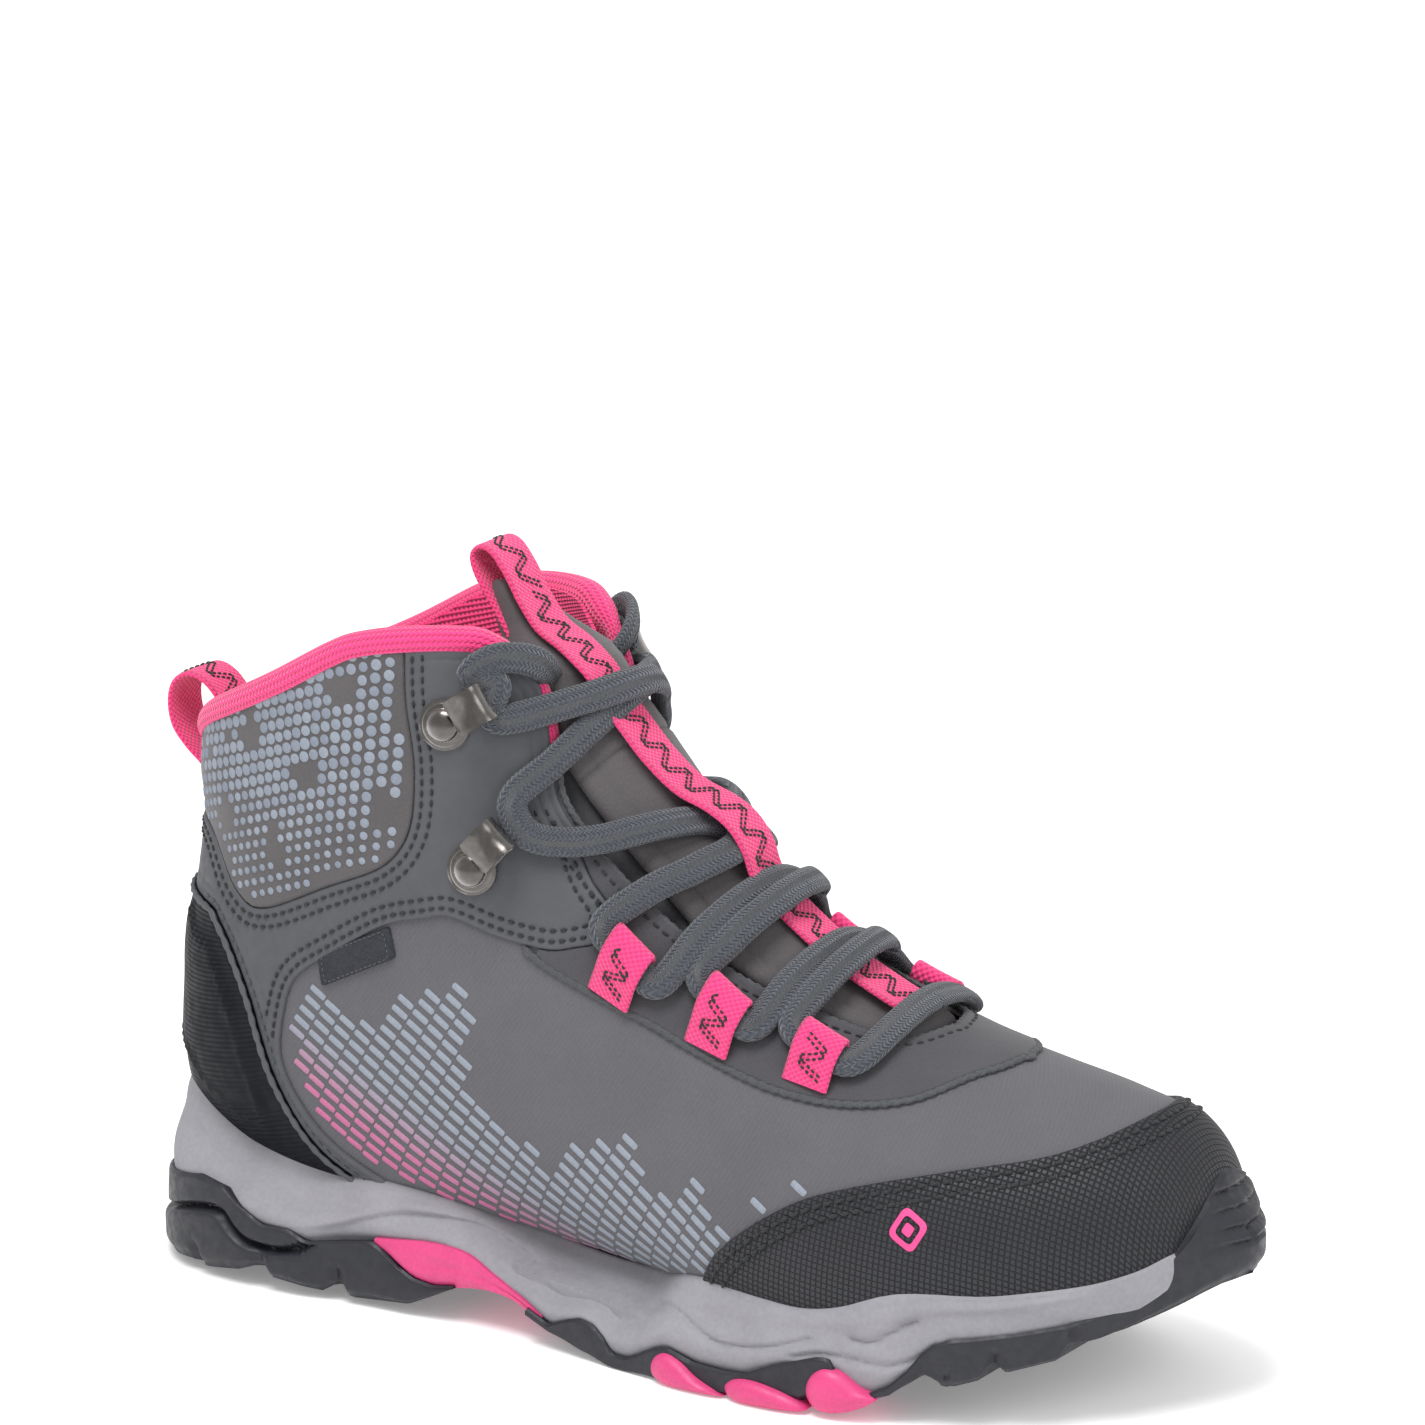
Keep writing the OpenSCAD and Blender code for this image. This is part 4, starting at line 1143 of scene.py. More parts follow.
build_collar_binding()
build_lining()
build_tongue()
build_gusset()


# ---------------------------------------------------------------- webbing, loops and laces
def band_on_face(path, width, thick, steps=10, corner=3, flat=14, across=None):
    """A webbing band through [section, angle, height] points."""
    fine = resample_path(smooth_line(path, steps), .7)
    points = skin(fine[:, 0], fine[:, 1], fine[:, 2])
    up = outward(fine[:, 0], fine[:, 1])
    return swept(points, up, rounded_profile(width, thick, corner, flat)), points, up


def resample_path(path, step):
    """Evenly spaced [section, angle, height] rows, measured on the boot."""
    p = skin(path[:, 0], path[:, 1], path[:, 2])
    run = np.concatenate([[0], np.cumsum(np.linalg.norm(np.diff(p, axis=0), axis=1))])
    at = np.linspace(0, run[-1], max(4, int(run[-1] / step)))
    return np.stack([np.interp(at, run, path[:, k]) for k in range(3)], 1)


def zigzag(points, side, up, width, pitch, height, start=0.0, stop=None):
    """A run of small stitches going to and fro across a band."""
    run = np.concatenate([[0], np.cumsum(np.linalg.norm(np.diff(points, axis=0), axis=1))])
    stop = run[-1] if stop is None else stop
    length = stop - start
    count = max(2, int(length / pitch * 5))
    at = np.linspace(start, stop, count * 2)
    wave = np.abs(((at - start) / pitch * 2) % 2 - 1) * 2 - 1
    place = lambda arr: np.stack([np.interp(at, run, arr[:, k]) for k in range(3)], 1)
    lift = unit(place(up))
    return place(points) + place(side) * (wave * width / 2)[:, None] + lift * height, lift


def zigzag_parts(points, up, width, pitch, height, start=0.0, stop=None):
    _, side, top = frames_along(points, up)
    run = np.linalg.norm(np.diff(points, axis=0), axis=1).sum()
    stop = run if stop is None else stop
    template = stitch_template(1.15, .27)
    parts = []
    for shift in (0, 1.15):
        line, lift = zigzag(points, side, top, width, pitch, height, start + shift, stop - 1.15 + shift)
        rows = resample(np.concatenate([line, lift], 1), 1.4)
        mids = (rows[1:, :3] + rows[:-1, :3]) / 2
        parts.append(place_template(template, mids, unit(rows[1:, :3] - rows[:-1, :3]), unit(rows[1:, 3:6])))
    return join_plain(parts)


def join_plain(parts):
    points, faces, base = [], [], 0
    for p, f in parts:
        points.append(p)
        faces.append(f + base)
        base += len(p)
    return np.concatenate(points), np.concatenate(faces)


WEB = 1.15
# Section of the loop's middle, and its angles at the seam end and at the folded end
LOOPS = {"loop_front": (6.83, 44.5, 32.5), "loop_middle": (7.89, 52.5, 39), "loop_rear": (8.9, 60.5, 48)}
LOOP_WIDTH = 10.6


def build_lace_loops():
    for name, (s, low, fold) in LOOPS.items():
        bands, threads = [], []
        for side in (-1, 1):
            span = low - fold
            flat = OVER + .7
            path = [(s, low + 1.5, flat - .4), (s, low - .16 * span, flat + 1.2), (s, fold + .5 * span, flat + 3.6),
                    (s, fold + .12 * span, flat + 4.2), (s, fold - .5, flat + 3.1), (s, fold + .3, flat + 1.0),
                    (s, fold + .3 * span, flat - .1), (s, fold + .6 * span, flat - .35)]
            path = np.array(path) * [1, side, 1]
            fine = smooth_line(path, 8)
            points = skin(fine[:, 0], fine[:, 1], fine[:, 2])
            points = resample(points, .6)
            along_foot = unit(face(s + .2, side * (low + fold) / 2) - face(s - .2, side * (low + fold) / 2))
            tangent = unit(np.gradient(points, axis=0))
            up = unit(np.cross(np.broadcast_to(along_foot, points.shape), tangent)) * side
            rings = swept(points, up, rounded_profile(LOOP_WIDTH, WEB, 3, 14))
            bands.append(tube_mesh(rings))
            outside = side * unit(np.cross(np.broadcast_to(along_foot, points.shape), tangent))
            reach = np.linalg.norm(points[1] - points[0]) * len(points)
            threads.append(zigzag_parts(points, outside, LOOP_WIDTH * .62, 5.4, WEB / 2, 1.6, reach * .47))
        points, faces, uv = merge_parts(bands)
        piece = make_piece(name + "_webbing", points, [faces], M["webbing"], uv=uv, sharp=60)
        on("boot", "webbing_pink", piece, name)
        points, faces = join_plain(threads)
        on("boot", None, make_piece(name + "_zigzag", points, [faces], M["thread"], sharp=80))


LACE_WIDTH, LACE_THICK = 6.3, 3.0


def lace_rings(points, up):
    """A flat braided lace: a soft oval whose edges are scalloped by the braid."""
    phi = np.arange(22) / 22 * math.tau
    run = np.concatenate([[0], np.cumsum(np.linalg.norm(np.diff(points, axis=0), axis=1))])
    scallop = .16 * np.abs(np.sin(run * math.pi / 1.15))
    oval = np.stack([np.sign(np.sin(phi)) * np.abs(np.sin(phi)) ** .8 * LACE_WIDTH / 2,
                     np.sign(np.cos(phi)) * np.abs(np.cos(phi)) ** .75 * LACE_THICK / 2], 1)
    rim = np.abs(np.sin(phi)) ** 6
    ring = oval[None] * (1 + rim[None, :, None] * scallop[:, None, None] * np.array([.28, 0]))
    soft = 1 + .05 * noise(points, 11)[:, None, None]
    return swept(points, up, ring * soft)


def lace_path(controls):
    fine = resample_path(smooth_line(controls, 14), .55)
    points = skin(fine[:, 0], fine[:, 1], fine[:, 2])
    return points, outward(fine[:, 0], fine[:, 1]), fine


def mirrored(rows):
    return [(s, -a, h) for s, a, h in rows]


def through_loop(name, side):
    """Three points that run from a loop's front to its rear, under its fold."""
    s, low, fold = LOOPS[name]
    a = side * (fold + 2.6)
    return [(s - .36, a, 3.3), (s, side * (fold + 3.3), 3.0), (s + .36, a, 3.3)]


def lower_lace():
    """From the rear lateral loop down to the toe bar and back up to the rear medial loop."""
    under, over = 2.6, 5.6
    l_rear, m_rear = through_loop("loop_rear", -1), through_loop("loop_rear", 1)
    l_mid, m_mid = through_loop("loop_middle", -1), through_loop("loop_middle", 1)
    l_front, m_front = through_loop("loop_front", -1), through_loop("loop_front", 1)
    return (l_rear[::-1][1:] + [(8.45, -34, 3.6), (8.35, -12, under), (8.3, 10, under), (8.28, 28, 3.4)]
            + m_mid[::-1] + [(7.35, 28, 4.0), (7.2, 10, over), (7.15, -6, over), (7.18, -22, 4.2)]
            + l_front[::-1] + [(6.33, -22, 3.4), (6.3, 0, 3.2), (6.33, 22, 3.4)]
            + m_front + [(7.3, 24, 3.6), (7.4, 6, under), (7.42, -10, under), (7.46, -26, 3.4)]
            + l_mid + [(8.2, -30, 4.2), (8.12, -10, over), (8.15, 12, over), (8.36, 34, 4.2)]
            + m_rear[:2])


HOOKS_LOW, HOOKS_UP = (10.7, 64), (12.8, 62)
HOOK_GRIP = 6.3     # degrees from a hook's rivet to the lace in its mouth


def round_hook(site, side):
    """Points round a hook's neck, from below it to above it."""
    s, a = site
    grip = side * (a - 14.0)
    return [(s - .42, side * (a - 17.5), 3.6), (s - .06, grip, 4.2), (s + .34, side * (a - 16.5), 4.4)]


def upper_lace(side):
    """From a rear loop to the other side's lower hook, back to this side's upper hook, and tucked in."""
    over = side < 0
    high = 6.1 if over else 3.1
    start = through_loop("loop_rear", side)
    start_rows = start[1:]
    other_low = round_hook(HOOKS_LOW, -side)
    own_up = round_hook(HOOKS_UP, side)
    deep = 4.3 if over else 1.9
    first = [(9.12, side * 38, 3.4), (8.9, side * 24, 3.4), (8.78, side * 9, deep), (8.97, 0, deep),
             (9.2, -side * 9, deep), (9.46, -side * 22, 3.4), (9.86, -side * 37, 3.4)]
    far, near = (2.3, 5.0) if over else (2.0, 2.7)
    second = [(11.1, -side * 36, 2.9), (11.27, -side * 21, far), (11.45, -side * 8, near), (11.62, side * 3, high),
              (11.95, side * 22, 3.6)]
    tail = [(13.5, side * 52, 4.6), (13.68, side * 45, 5.0), (13.5, side * 37, 4.2), (13.15, side * 30.5, 2.2),
            (12.75, side * 26.5, -1.6), (12.5, side * 24, -5.5)]
    return start_rows + first + other_low + second + own_up + tail


def split_at_middle(points, up, others):
    """Pieces of a path on either side of the boot's middle, each a list of (points, up)."""
    middle = 1.0
    lateral = points[:, 1] < middle
    edges = np.nonzero(np.diff(lateral.astype(int)))[0] + 1
    runs = np.split(np.arange(len(points)), edges)
    out = {True: [], False: []}
    for run in runs:
        lo, hi = max(run[0] - 1, 0), min(run[-1] + 1, len(points) - 1)
        take = np.arange(run[0], hi + 1)
        if len(take) > 4:
            out[bool(lateral[run[0]])].append((points[take], up[take]))
    return out


def build_laces():
    for name, node, paths in (("lower", "lace_lower", [lower_lace()]),
                              ("upper", "lace_upper", [upper_lace(-1), upper_lace(1)])):
        halves = {True: [], False: []}
        for path in paths:
            points, up, _ = lace_path(path)
            for key, runs in split_at_middle(points, up, None).items():
                halves[key] += [tube_mesh(lace_rings(p, u)) for p, u in runs]
        for key, label, side in ((True, "lateral", -1), (False, "medial", 1)):
            points, faces, uv = merge_parts(halves[key])
            piece = make_piece(f"lace_{name}_{label}", points, [faces], M["lace"], uv=uv, sharp=85)
            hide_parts(node)
            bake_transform(piece)


STRAP_LINE = [(6.42, -4, 1.6), (6.8, -4, 1.6), (7.3, -3.5, 1.3), (8.0, -2, 1.2), (8.4, -2, 1.9), (8.68, -2.6, 5.0),
              (8.95, -3.4, 6.3), (9.25, -4.4, 5.4), (9.65, -5.6, 2.4), (10.2, -6.6, 1.3), (10.8, -7.2, 1.2),
              (11.6, -7.6, 1.1), (12.3, -7.8, 1.0)]


def strap_points():
    """The tongue strap from the vamp to the top of the tongue."""
    upper = [(s, -7.8 + 2.0 * (s - 12.8), table(TONGUE_FACE, s) + 2.0) for s in (12.8, 13.3, 13.9, 14.45)]
    rows = np.array([(s, a, h + table(TONGUE_FACE, s) + .6) for s, a, h in STRAP_LINE] + upper)
    rows[:-4, 2] = [h for _, _, h in STRAP_LINE]
    rows[-4:, 2] -= .5
    lying = skin(rows[:, 0], rows[:, 1], rows[:, 2])
    return smooth_line(lying, 12)


STRAP_WIDTH = 12.4


def build_strap():
    points = resample(strap_points(), .7)
    ahead = unit(np.gradient(points, axis=0))
    up = unit(np.cross(ahead, np.broadcast_to([0, 1.0, 0], points.shape)))
    if up[len(up) // 2, 0] < 0:
        up = -up
    rings = swept(points, up, rounded_profile(STRAP_WIDTH, WEB, 3, 14))
    p, f, uv = tube_mesh(rings)
    piece = make_piece("tongue_strap_webbing", p, [f], M["webbing"], uv=uv, sharp=60)
    on("tongue_body", "webbing_pink", piece, "tongue_strap")
    threads = zigzag_parts(points, up, STRAP_WIDTH * .6, 7.0, WEB / 2 + .02)
    on("tongue_body", None, make_piece("tongue_strap_zigzag", threads[0], [threads[1]], M["thread"], sharp=80))
    foot, heading = points[-1], ahead[-1]
    curl = [(0, 0), (1.5, .2), (6, .6), (11, .3), (13.6, -1.6), (13.2, -4.2), (10, -5.6), (5, -6.0), (0, -6.2),
            (-6, -6.6)]
    over = up[-1]
    loop = np.array([foot + heading * c[0] + over * c[1] for c in curl])
    loop = resample(smooth_line(loop, 10), .6)
    ahead = unit(np.gradient(loop, axis=0))
    loop_up = unit(np.cross(ahead, np.broadcast_to([0, 1.0, 0], loop.shape)))
    if loop_up[0] @ over < 0:
        loop_up = -loop_up
    p, f, uv = tube_mesh(swept(loop, loop_up, rounded_profile(STRAP_WIDTH, WEB, 3, 14)))
    piece = make_piece("tongue_pull_webbing", p, [f], M["webbing"], uv=uv, sharp=60)
    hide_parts("tongue_pull_loop")
    reach = np.linalg.norm(np.diff(loop, axis=0), axis=1).sum()
    threads = zigzag_parts(loop, loop_up, STRAP_WIDTH * .6, 7.0, WEB / 2 + .02, .4, reach * .5)
    thread_piece = make_piece("tongue_pull_zigzag", threads[0], [threads[1]], M["thread"], sharp=80)
    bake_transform(piece)
    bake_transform(thread_piece)


def build_heel_loop():
    back = face(13.7, 180)
    curl = [(2.6, 1.2), (.6, 5.0), (-2.6, 8.2), (-6.5, 9.4), (-10.2, 7.4), (-11.6, 3), (-10.6, -2.4), (-7.2, -6.6),
            (-3.8, -9.5), (-1.8, -12), (-1.3, -14.5)]
    path = np.array([back + [x, 0, z] for x, z in curl])
    path = resample(smooth_line(path, 10), .6)
    ahead = unit(np.gradient(path, axis=0))
    up = unit(np.cross(np.broadcast_to([0, 1.0, 0], path.shape), ahead))
    if up[len(up) // 2, 0] > 0:
        up = -up
    p, f, uv = tube_mesh(swept(path, up, rounded_profile(12.2, WEB, 3, 16)))
    piece = make_piece("heel_pull_webbing", p, [f], M["webbing"], uv=uv, sharp=60)
    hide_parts("heel_pull_loop")
    threads = zigzag_parts(path, up, 7.4, 6.2, WEB / 2 + .02)
    thread_piece = make_piece("heel_pull_zigzag", threads[0], [threads[1]], M["thread"], sharp=80)
    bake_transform(piece)
    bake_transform(thread_piece)


build_lace_loops()
build_laces()
build_strap()
build_heel_loop()


# ---------------------------------------------------------------- hooks
def face_frame(s, a):
    """The frame of a hook: origin on the face, x towards the throat, z outward."""
    z = outward(s, a)
    ahead = face(s, a * .8) - face(s, a) + np.array([0, 0, .9])
    x = unit(ahead - z * (ahead @ z))
    return face(s, a), x, np.cross(z, x), z


def placed(points, s, a, off):
    o, x, y, z = face_frame(s, a)
    o = o + z * off
    points = np.asarray(points)
    return o + points[:, :1] * x + points[:, 1:2] * y + points[:, 2:3] * z


def disc_dome(radius, height, base, rim=.35, rings=9, around=40):
    """A domed button with a rounded rim, closed underneath."""
    phi = np.arange(around) / around * math.tau
    shape = [(0.0, height)]
    for k in range(1, rings):
        t = k / (rings - 1)
        shape.append((radius * math.sin(t * math.pi / 2), rim + (height - rim) * math.cos(t * math.pi / 2) ** .9))
    shape += [(radius * 1.02, rim * .6), (radius, base), (0.0, base)]
    points = np.concatenate([np.stack([r * np.cos(phi), r * np.sin(phi), np.full(around, z)], 1) for r, z in shape])
    return points, grid_faces(len(shape), around, True)[:, ::-1]


def hook_shape():
    """Curled sheet hook: a round pierced base, a neck, and a wide tongue that turns back over the base."""
    line = smooth_line([(-5.4, 0), (-3, 0), (0, 0), (3, 0), (6.2, .1), (9.0, .7), (11.0, 2.4), (11.5, 4.6),
                        (10.4, 6.5), (8.2, 7.3), (5.8, 7.1), (4.2, 6.6)], 8)
    line = resample(line, .45)
    x, z = line[:, 0], line[:, 1]
    run = np.concatenate([[0], np.cumsum(np.hypot(np.diff(x), np.diff(z)))])
    base = np.sqrt(np.clip(5.4 ** 2 - (run - 5.4) ** 2, .3, None))
    neck = 3.1 + .9 * ease(run, 13, 19)
    end = np.sqrt(np.clip(1 - ease(run, run[-1] - 2.2, run[-1] + .6) ** 2, .05, 1))
    half = np.where(run < 5.4, base, np.maximum(base * (run < 10.8), neck * np.minimum(1, end + .25)))
    across = np.linspace(-1, 1, 15)
    bow = .55 * ease(run, 12, 18)
    tangent = unit(np.stack([np.gradient(x), np.zeros_like(x), np.gradient(z)], 1))
    normal = np.stack([-tangent[:, 2], np.zeros_like(x), tangent[:, 0]], 1)
    rings = []
    for sign, thick in ((1, .5), (-1, -.5)):
        edge = np.sqrt(1 - .55 * across ** 8)
        y = across[None] * half[:, None]
        lift = thick * edge[None] - bow[:, None] * across[None] ** 2
        rings.append(np.stack([x, 0 * x, z], 1)[:, None] + normal[:, None] * lift[..., None]
                     + np.stack([0 * y, y, 0 * y], -1))
    loop = np.concatenate([rings[0], rings[1][:, ::-1]], 1)
    return tube_mesh(loop)


def build_hooks():
    shape, faces, uv = hook_shape()
    for name, site in (("hooks_lower", HOOKS_LOW), ("hooks_upper", HOOKS_UP)):
        parts = [(placed(shape, site[0], side * site[1], OVER + .9), faces, uv) for side in (-1, 1)]
        points, quads, uvs = merge_parts(parts)
        piece = make_piece(name + "_steel", points, [quads], M["steel"], uv=uvs, weld=True, sharp=50)
        on("boot", "hook_steel", piece, name)
    parts = []
    for site in (HOOKS_LOW, HOOKS_UP):
        for side in (-1, 1):
            p, f = disc_dome(3.6, 2.3, -.3)
            parts.append((placed(p, site[0], side * site[1], OVER + 1.75), f))
            p, f = disc_dome(4.6, .5, -.2, .2)
            parts.append((placed(p, site[0], side * site[1], OVER + 1.3), f))
    points, quads = join_plain(parts)
    piece = make_piece("hook_rivets_domed", points, [quads], M["steel"], uv=points[:, [0, 2]], weld=True, sharp=50)
    on("boot", "hook_steel", piece, "hook_rivets")


build_hooks()


# ---------------------------------------------------------------- sole
# The sole's outline seen from above; entry k and entry 24 - k face each other across the boot
SOLE = np.array([(-2.5, 0), (0, -14), (11, -26), (32, -32), (62, -31.5), (92, -33), (122, -38), (150, -43), (178, -44),
                 (203, -39.5), (223, -30), (239, -15.5), (251.5, 7), (240, 28), (223, 37), (203, 44), (178, 45),
                 (150, 40), (122, 32.5), (92, 28.5), (62, 29.5), (32, 31.5), (11, 26), (0, 14)])
MID_TOP = smooth_line([(-6, 41), (5, 42), (14, 36), (24.5, 30), (36, 27.5), (51, 26), (63, 26.3), (79, 24.6), (97, 19.5),
                       (113, 17.3), (129, 17.6), (140, 20.8), (150, 22), (162, 21.4), (172, 21), (181.5, 22.7),
                       (194.6, 27.3), (211, 28.2), (219.5, 29.4), (229.9, 31.3), (237, 33.5), (243, 36), (256, 38)], 4)
MID_LOW = [(-6, 14.5), (12, 15), (24, 14.5), (36, 13), (46, 11.5), (63, 14), (79, 15), (90, 12.5), (97, 8), (104, 6.5),
           (110, 4.2), (118, 6.5), (122, 5.5), (125.5, 1.2), (131, 1.2), (134, 3), (140, 6), (150, 4.4), (160, 4.8),
           (170, 8.4), (178, 10), (183, 8), (186, 4), (191, 4.6), (195, 7.5), (199, 11.5), (203, 14.5), (206, 17),
           (217, 18.5), (228, 20.8), (236, 24), (243, 30), (256, 34)]
STEP_LINE = smooth_line([(45.3, 14.8), (54, 17.1), (62.6, 20.2), (70.4, 22), (79.1, 22.4), (87.2, 21), (96.1, 17),
                         (108, 11.6)], 4)
GROOVE_BALL = smooth_line([(133.2, 13.1), (138.3, 14.6), (143.5, 14.2), (148.9, 12.4), (154.4, 10.9), (161.3, 11.3),
                           (167.9, 12.7), (176.1, 15.5)], 4)
GROOVE_TOE = smooth_line([(185.2, 16.9), (188.1, 16.5), (191.1, 17.4), (195.5, 20.3), (198.9, 22.3)], 4)
CREASE_TOE = smooth_line([(172.3, 11.5), (178.6, 13.1), (185, 12.9), (192.8, 12.4), (199.1, 14.4), (203, 17.6)], 4)
HEEL_TOP = [(-6, 17), (8, 20), (19, 22.2), (26.9, 20.8), (31.2, 17.5), (36.7, 14.5), (43.2, 14.5), (47.6, 12.4),
            (63.7, 15), (66.5, 13.5), (70.4, 10.6), (74.3, 8.6), (79.1, 7.9), (84.8, 8.8)]
HEEL_LOW = [(-6, 2.6), (-1, 1.6), (4, 1), (15.9, 2.6), (21, 2), (30.3, 3.4), (34.6, 5), (38.6, 4.9), (39.1, 3.2),
            (51.1, 1.8), (54, 3.6), (56.6, 3.4), (57.8, 1.4), (72.4, 2.4), (77.7, 4.8), (84.4, 8.1)]
TIER_LINE = smooth_line([(-3, 8.4), (2, 9.4), (10, 12.4), (17.9, 14.8), (25.3, 15.5), (28.9, 12.4), (33.1, 10),
                         (39.9, 9.4), (45.3, 10.3), (49.5, 12.4)], 4)
FORE_TOP = [(103.5, 8), (109.9, 5.6), (114.4, 7.6), (118.3, 8.8), (121.8, 8.2), (124.7, 5.9), (127.1, 3), (130.8, 3.1),
            (133.7, 4.4), (138.3, 6.9), (141.9, 7.9), (148.9, 6.1), (156, 5.8), (161.3, 6.2), (169.2, 9.6), (178.6, 12.7),
            (181, 12.6), (184, 8), (186, 4.6), (194, 8.6), (197.5, 12), (200.5, 16), (203, 18), (205.9, 19.4),
            (216.9, 20.9), (227.5, 23), (234.8, 25.7), (239, 29), (256, 30)]
FORE_LOW = [(103.5, 6.8), (110, 4.4), (115.2, 2.6), (118.3, 1.4), (125.5, 0), (132.9, .2), (139.6, 0), (146.3, 1.2),
            (154.4, 0), (160, 2.0), (166, 3), (174.3, 2.4), (176.1, 3.3), (178.1, 6.4), (183, 3.6), (194, 6.6),
            (197.5, 9.4), (201, 11.4), (203.6, 10.1), (204.8, 8.6), (211.9, 11), (213, 13.4), (215.1, 13.9),
            (216.5, 12.6), (225.5, 15.2), (226.8, 18), (229, 18.5), (232.3, 19.4), (236, 21.2), (243, 24.4),
            (249, 27.6), (256, 29)]
# Height of the toe bumper's upper edge round the outline
BUMPER = smooth_line([(10.5, 20), (10.8, 27), (11, 31), (11.2, 35.5), (11.45, 41.5), (11.7, 46), (12, 48.5), (12.35, 48),
                      (12.65, 45.5), (12.85, 40), (13.02, 34), (13.25, 27), (13.5, 20)], 4)
PINK_TOP = smooth_line([(63.5, 15.4), (67.9, 15.9), (78.5, 16.9), (87.2, 16.1), (93.9, 12.9), (100.9, 9.7), (108, 6.6)], 4)
PINK_LOW = smooth_line([(63.5, 13.6), (66.5, 13), (70.4, 10.2), (74.3, 7.9), (79.1, 7.1), (84.4, 8.0), (91.1, 8.9),
                        (99.5, 8.2), (104.6, 6.1), (108, 5.6)], 4)
LOBES = ([(138.3, 2), (139, 5.2), (142, 6.9), (146, 5.9), (150, 3.4), (155, 1.4), (156.6, .5), (150, .15), (142, .15)],
         [(157, 2.5), (159, 4.7), (163, 5.4), (168, 4.8), (173, 3.4), (176.4, 1.3), (172, .3), (160, .2)],
         [(176.3, 4.4), (177, 8.2), (180, 10.6), (184, 10.1), (188, 7.3), (191.4, 5.6), (189, 3.6), (184, 1.7),
          (179, 1.5)])


def rim(u):
    """Outline of the sole at parameter u, 0 to 24."""
    u = np.asarray(u, float)
    i = np.floor(u).astype(int)
    pick = lambda k: SOLE[(i + k) % 24]
    return spline(pick(-1), pick(0), pick(1), pick(2), (u - i)[..., None])


def rim_out(u):
    t = rim(np.asarray(u) + .02) - rim(np.asarray(u) - .02)
    return unit(np.stack([t[..., 1], -t[..., 0]], -1))


def reach(u, z):
    """How far the boot's face stands outside the sole's outline at height z."""
    p, n = rim(u), rim_out(u)
    out = np.full(len(u), -5.0)
    for i in range(len(u)):
        start = Vector((*(p[i] + n[i] * 25), z[i]))
        hit = FACE_TREE.ray_cast(start, Vector((*-n[i], 0)))
        if hit[0]:
            out[i] = 25 - hit[3]
    return np.clip(out, -16, 4)


def rib_at(x):
    """The outline parameter, on the lateral side, where the outline reaches x."""
    t = np.linspace(1, 11.5, 400)
    return np.interp(x, rim(t)[:, 0], t)


def half_ring(u, top_in, wall, low_in):
    """From the spine over the top, down the wall and back to the spine: wall is (offset, z) rows."""
    p, n = rim(u), rim_out(u)
    spine = (p + rim(24 - u)) / 2
    rows = []
    edge = p + n * wall[0][0][:, None]
    for share, z in top_in:
        rows.append((spine + (edge - spine) * share, z))
    rows += [(p + n * off[:, None], z) for off, z in wall]
    edge = p + n * wall[-1][0][:, None]
    for share, z in low_in:
        q = spine + (edge - spine) * share
        rows.append((q, z(q) if callable(z) else z))
    return np.stack([np.concatenate([q, np.broadcast_to(z, len(q))[:, None]], 1) for q, z in rows], 1)


def ribbed_piece(name, ts, build, material):
    """A closed piece of the sole from ribs running across the boot."""
    lateral, medial = build(ts), build(24 - ts)
    points, faces, uv = tube_mesh(np.concatenate([lateral, medial[:, ::-1]], 1))
    return make_piece(name, points, [faces], material, uv=uv, weld=True, sharp=42)


def rib_steps(first, last, step=.042):
    count = max(3, int((last - first) / step))
    return np.linspace(first, last, count)


def midsole_half(u):
    x = rim(u)[:, 0]
    top, low = table(MID_TOP, x), table(MID_LOW, x)
    edge = reach(u, top - .3)
    toe = ease(x, 225, 240)
    wall = [(edge - .9, top - .3), (edge + .1, top + .35), (edge + .85, top + .3), (edge + 1.35, top - .2)]
    step_z = table(STEP_LINE, x)
    for w in np.linspace(.03, 1, 26):
        z = top - .2 - w * (top - .2 - low)
        skin_off = reach(u, z)
        rest = .2 * np.sin(w * math.pi) - .9 * ease(w, .8, 1) - .5
        off = (edge + 1.45) * (1 - ease(w, 0, .75)) + rest * ease(w, 0, .75)
        off = off + .9 * np.exp(-((w - .18) / .13) ** 2) * (1 - toe)
        off = np.maximum(off, skin_off + .7 + 1.2 * ease(x, 150, 165))
        for line, depth, width in ((GROOVE_BALL, 1.0, .7), (GROOVE_TOE, 1.0, .7), (CREASE_TOE, .8, .6)):
            off = off - depth * np.exp(-(line_distance(line, x, z) / width) ** 2)
        below = ease(step_z - z, -.1, .9) * ease(x, 46, 56) * (1 - ease(x, 100, 109))
        off = off - 1.15 * below + .35 * np.exp(-(line_distance(STEP_LINE, x, z - .9) / .9) ** 2)
        off = np.maximum(off - 1.8 * (1 - ease(x, 0, 16)), skin_off + .9)
        ripple = np.exp(-(((x - 19) * .5 + (z - 27)) / 1.3) ** 2) * ease(x, 8, 18) * (1 - ease(x, 28, 40))
        off = off - .55 * ripple
        wall.append((off + .12 * noise(np.stack([x, z, x * 0], 1), 14), z))
    rubber_low = np.where(x < 84, table(HEEL_LOW, x) + 4.4,
                          np.where(x < 104, table(PINK_LOW, x) + 2.4, table(FORE_LOW, x) + 4.4))
    hidden = np.maximum(rubber_low, low + 1.2)
    floor = np.maximum(table(FLOOR_CUT, x) - .6, hidden + .6)
    dish = [(0, floor), (.35, floor), (.7, floor + .2), (.88, np.maximum(floor + 1, top - 9)), (.97, top - 3)]
    return half_ring(u, dish, wall, [(.95, low + .1), (.86, hidden), (.7, hidden), (.35, hidden), (0, hidden)])


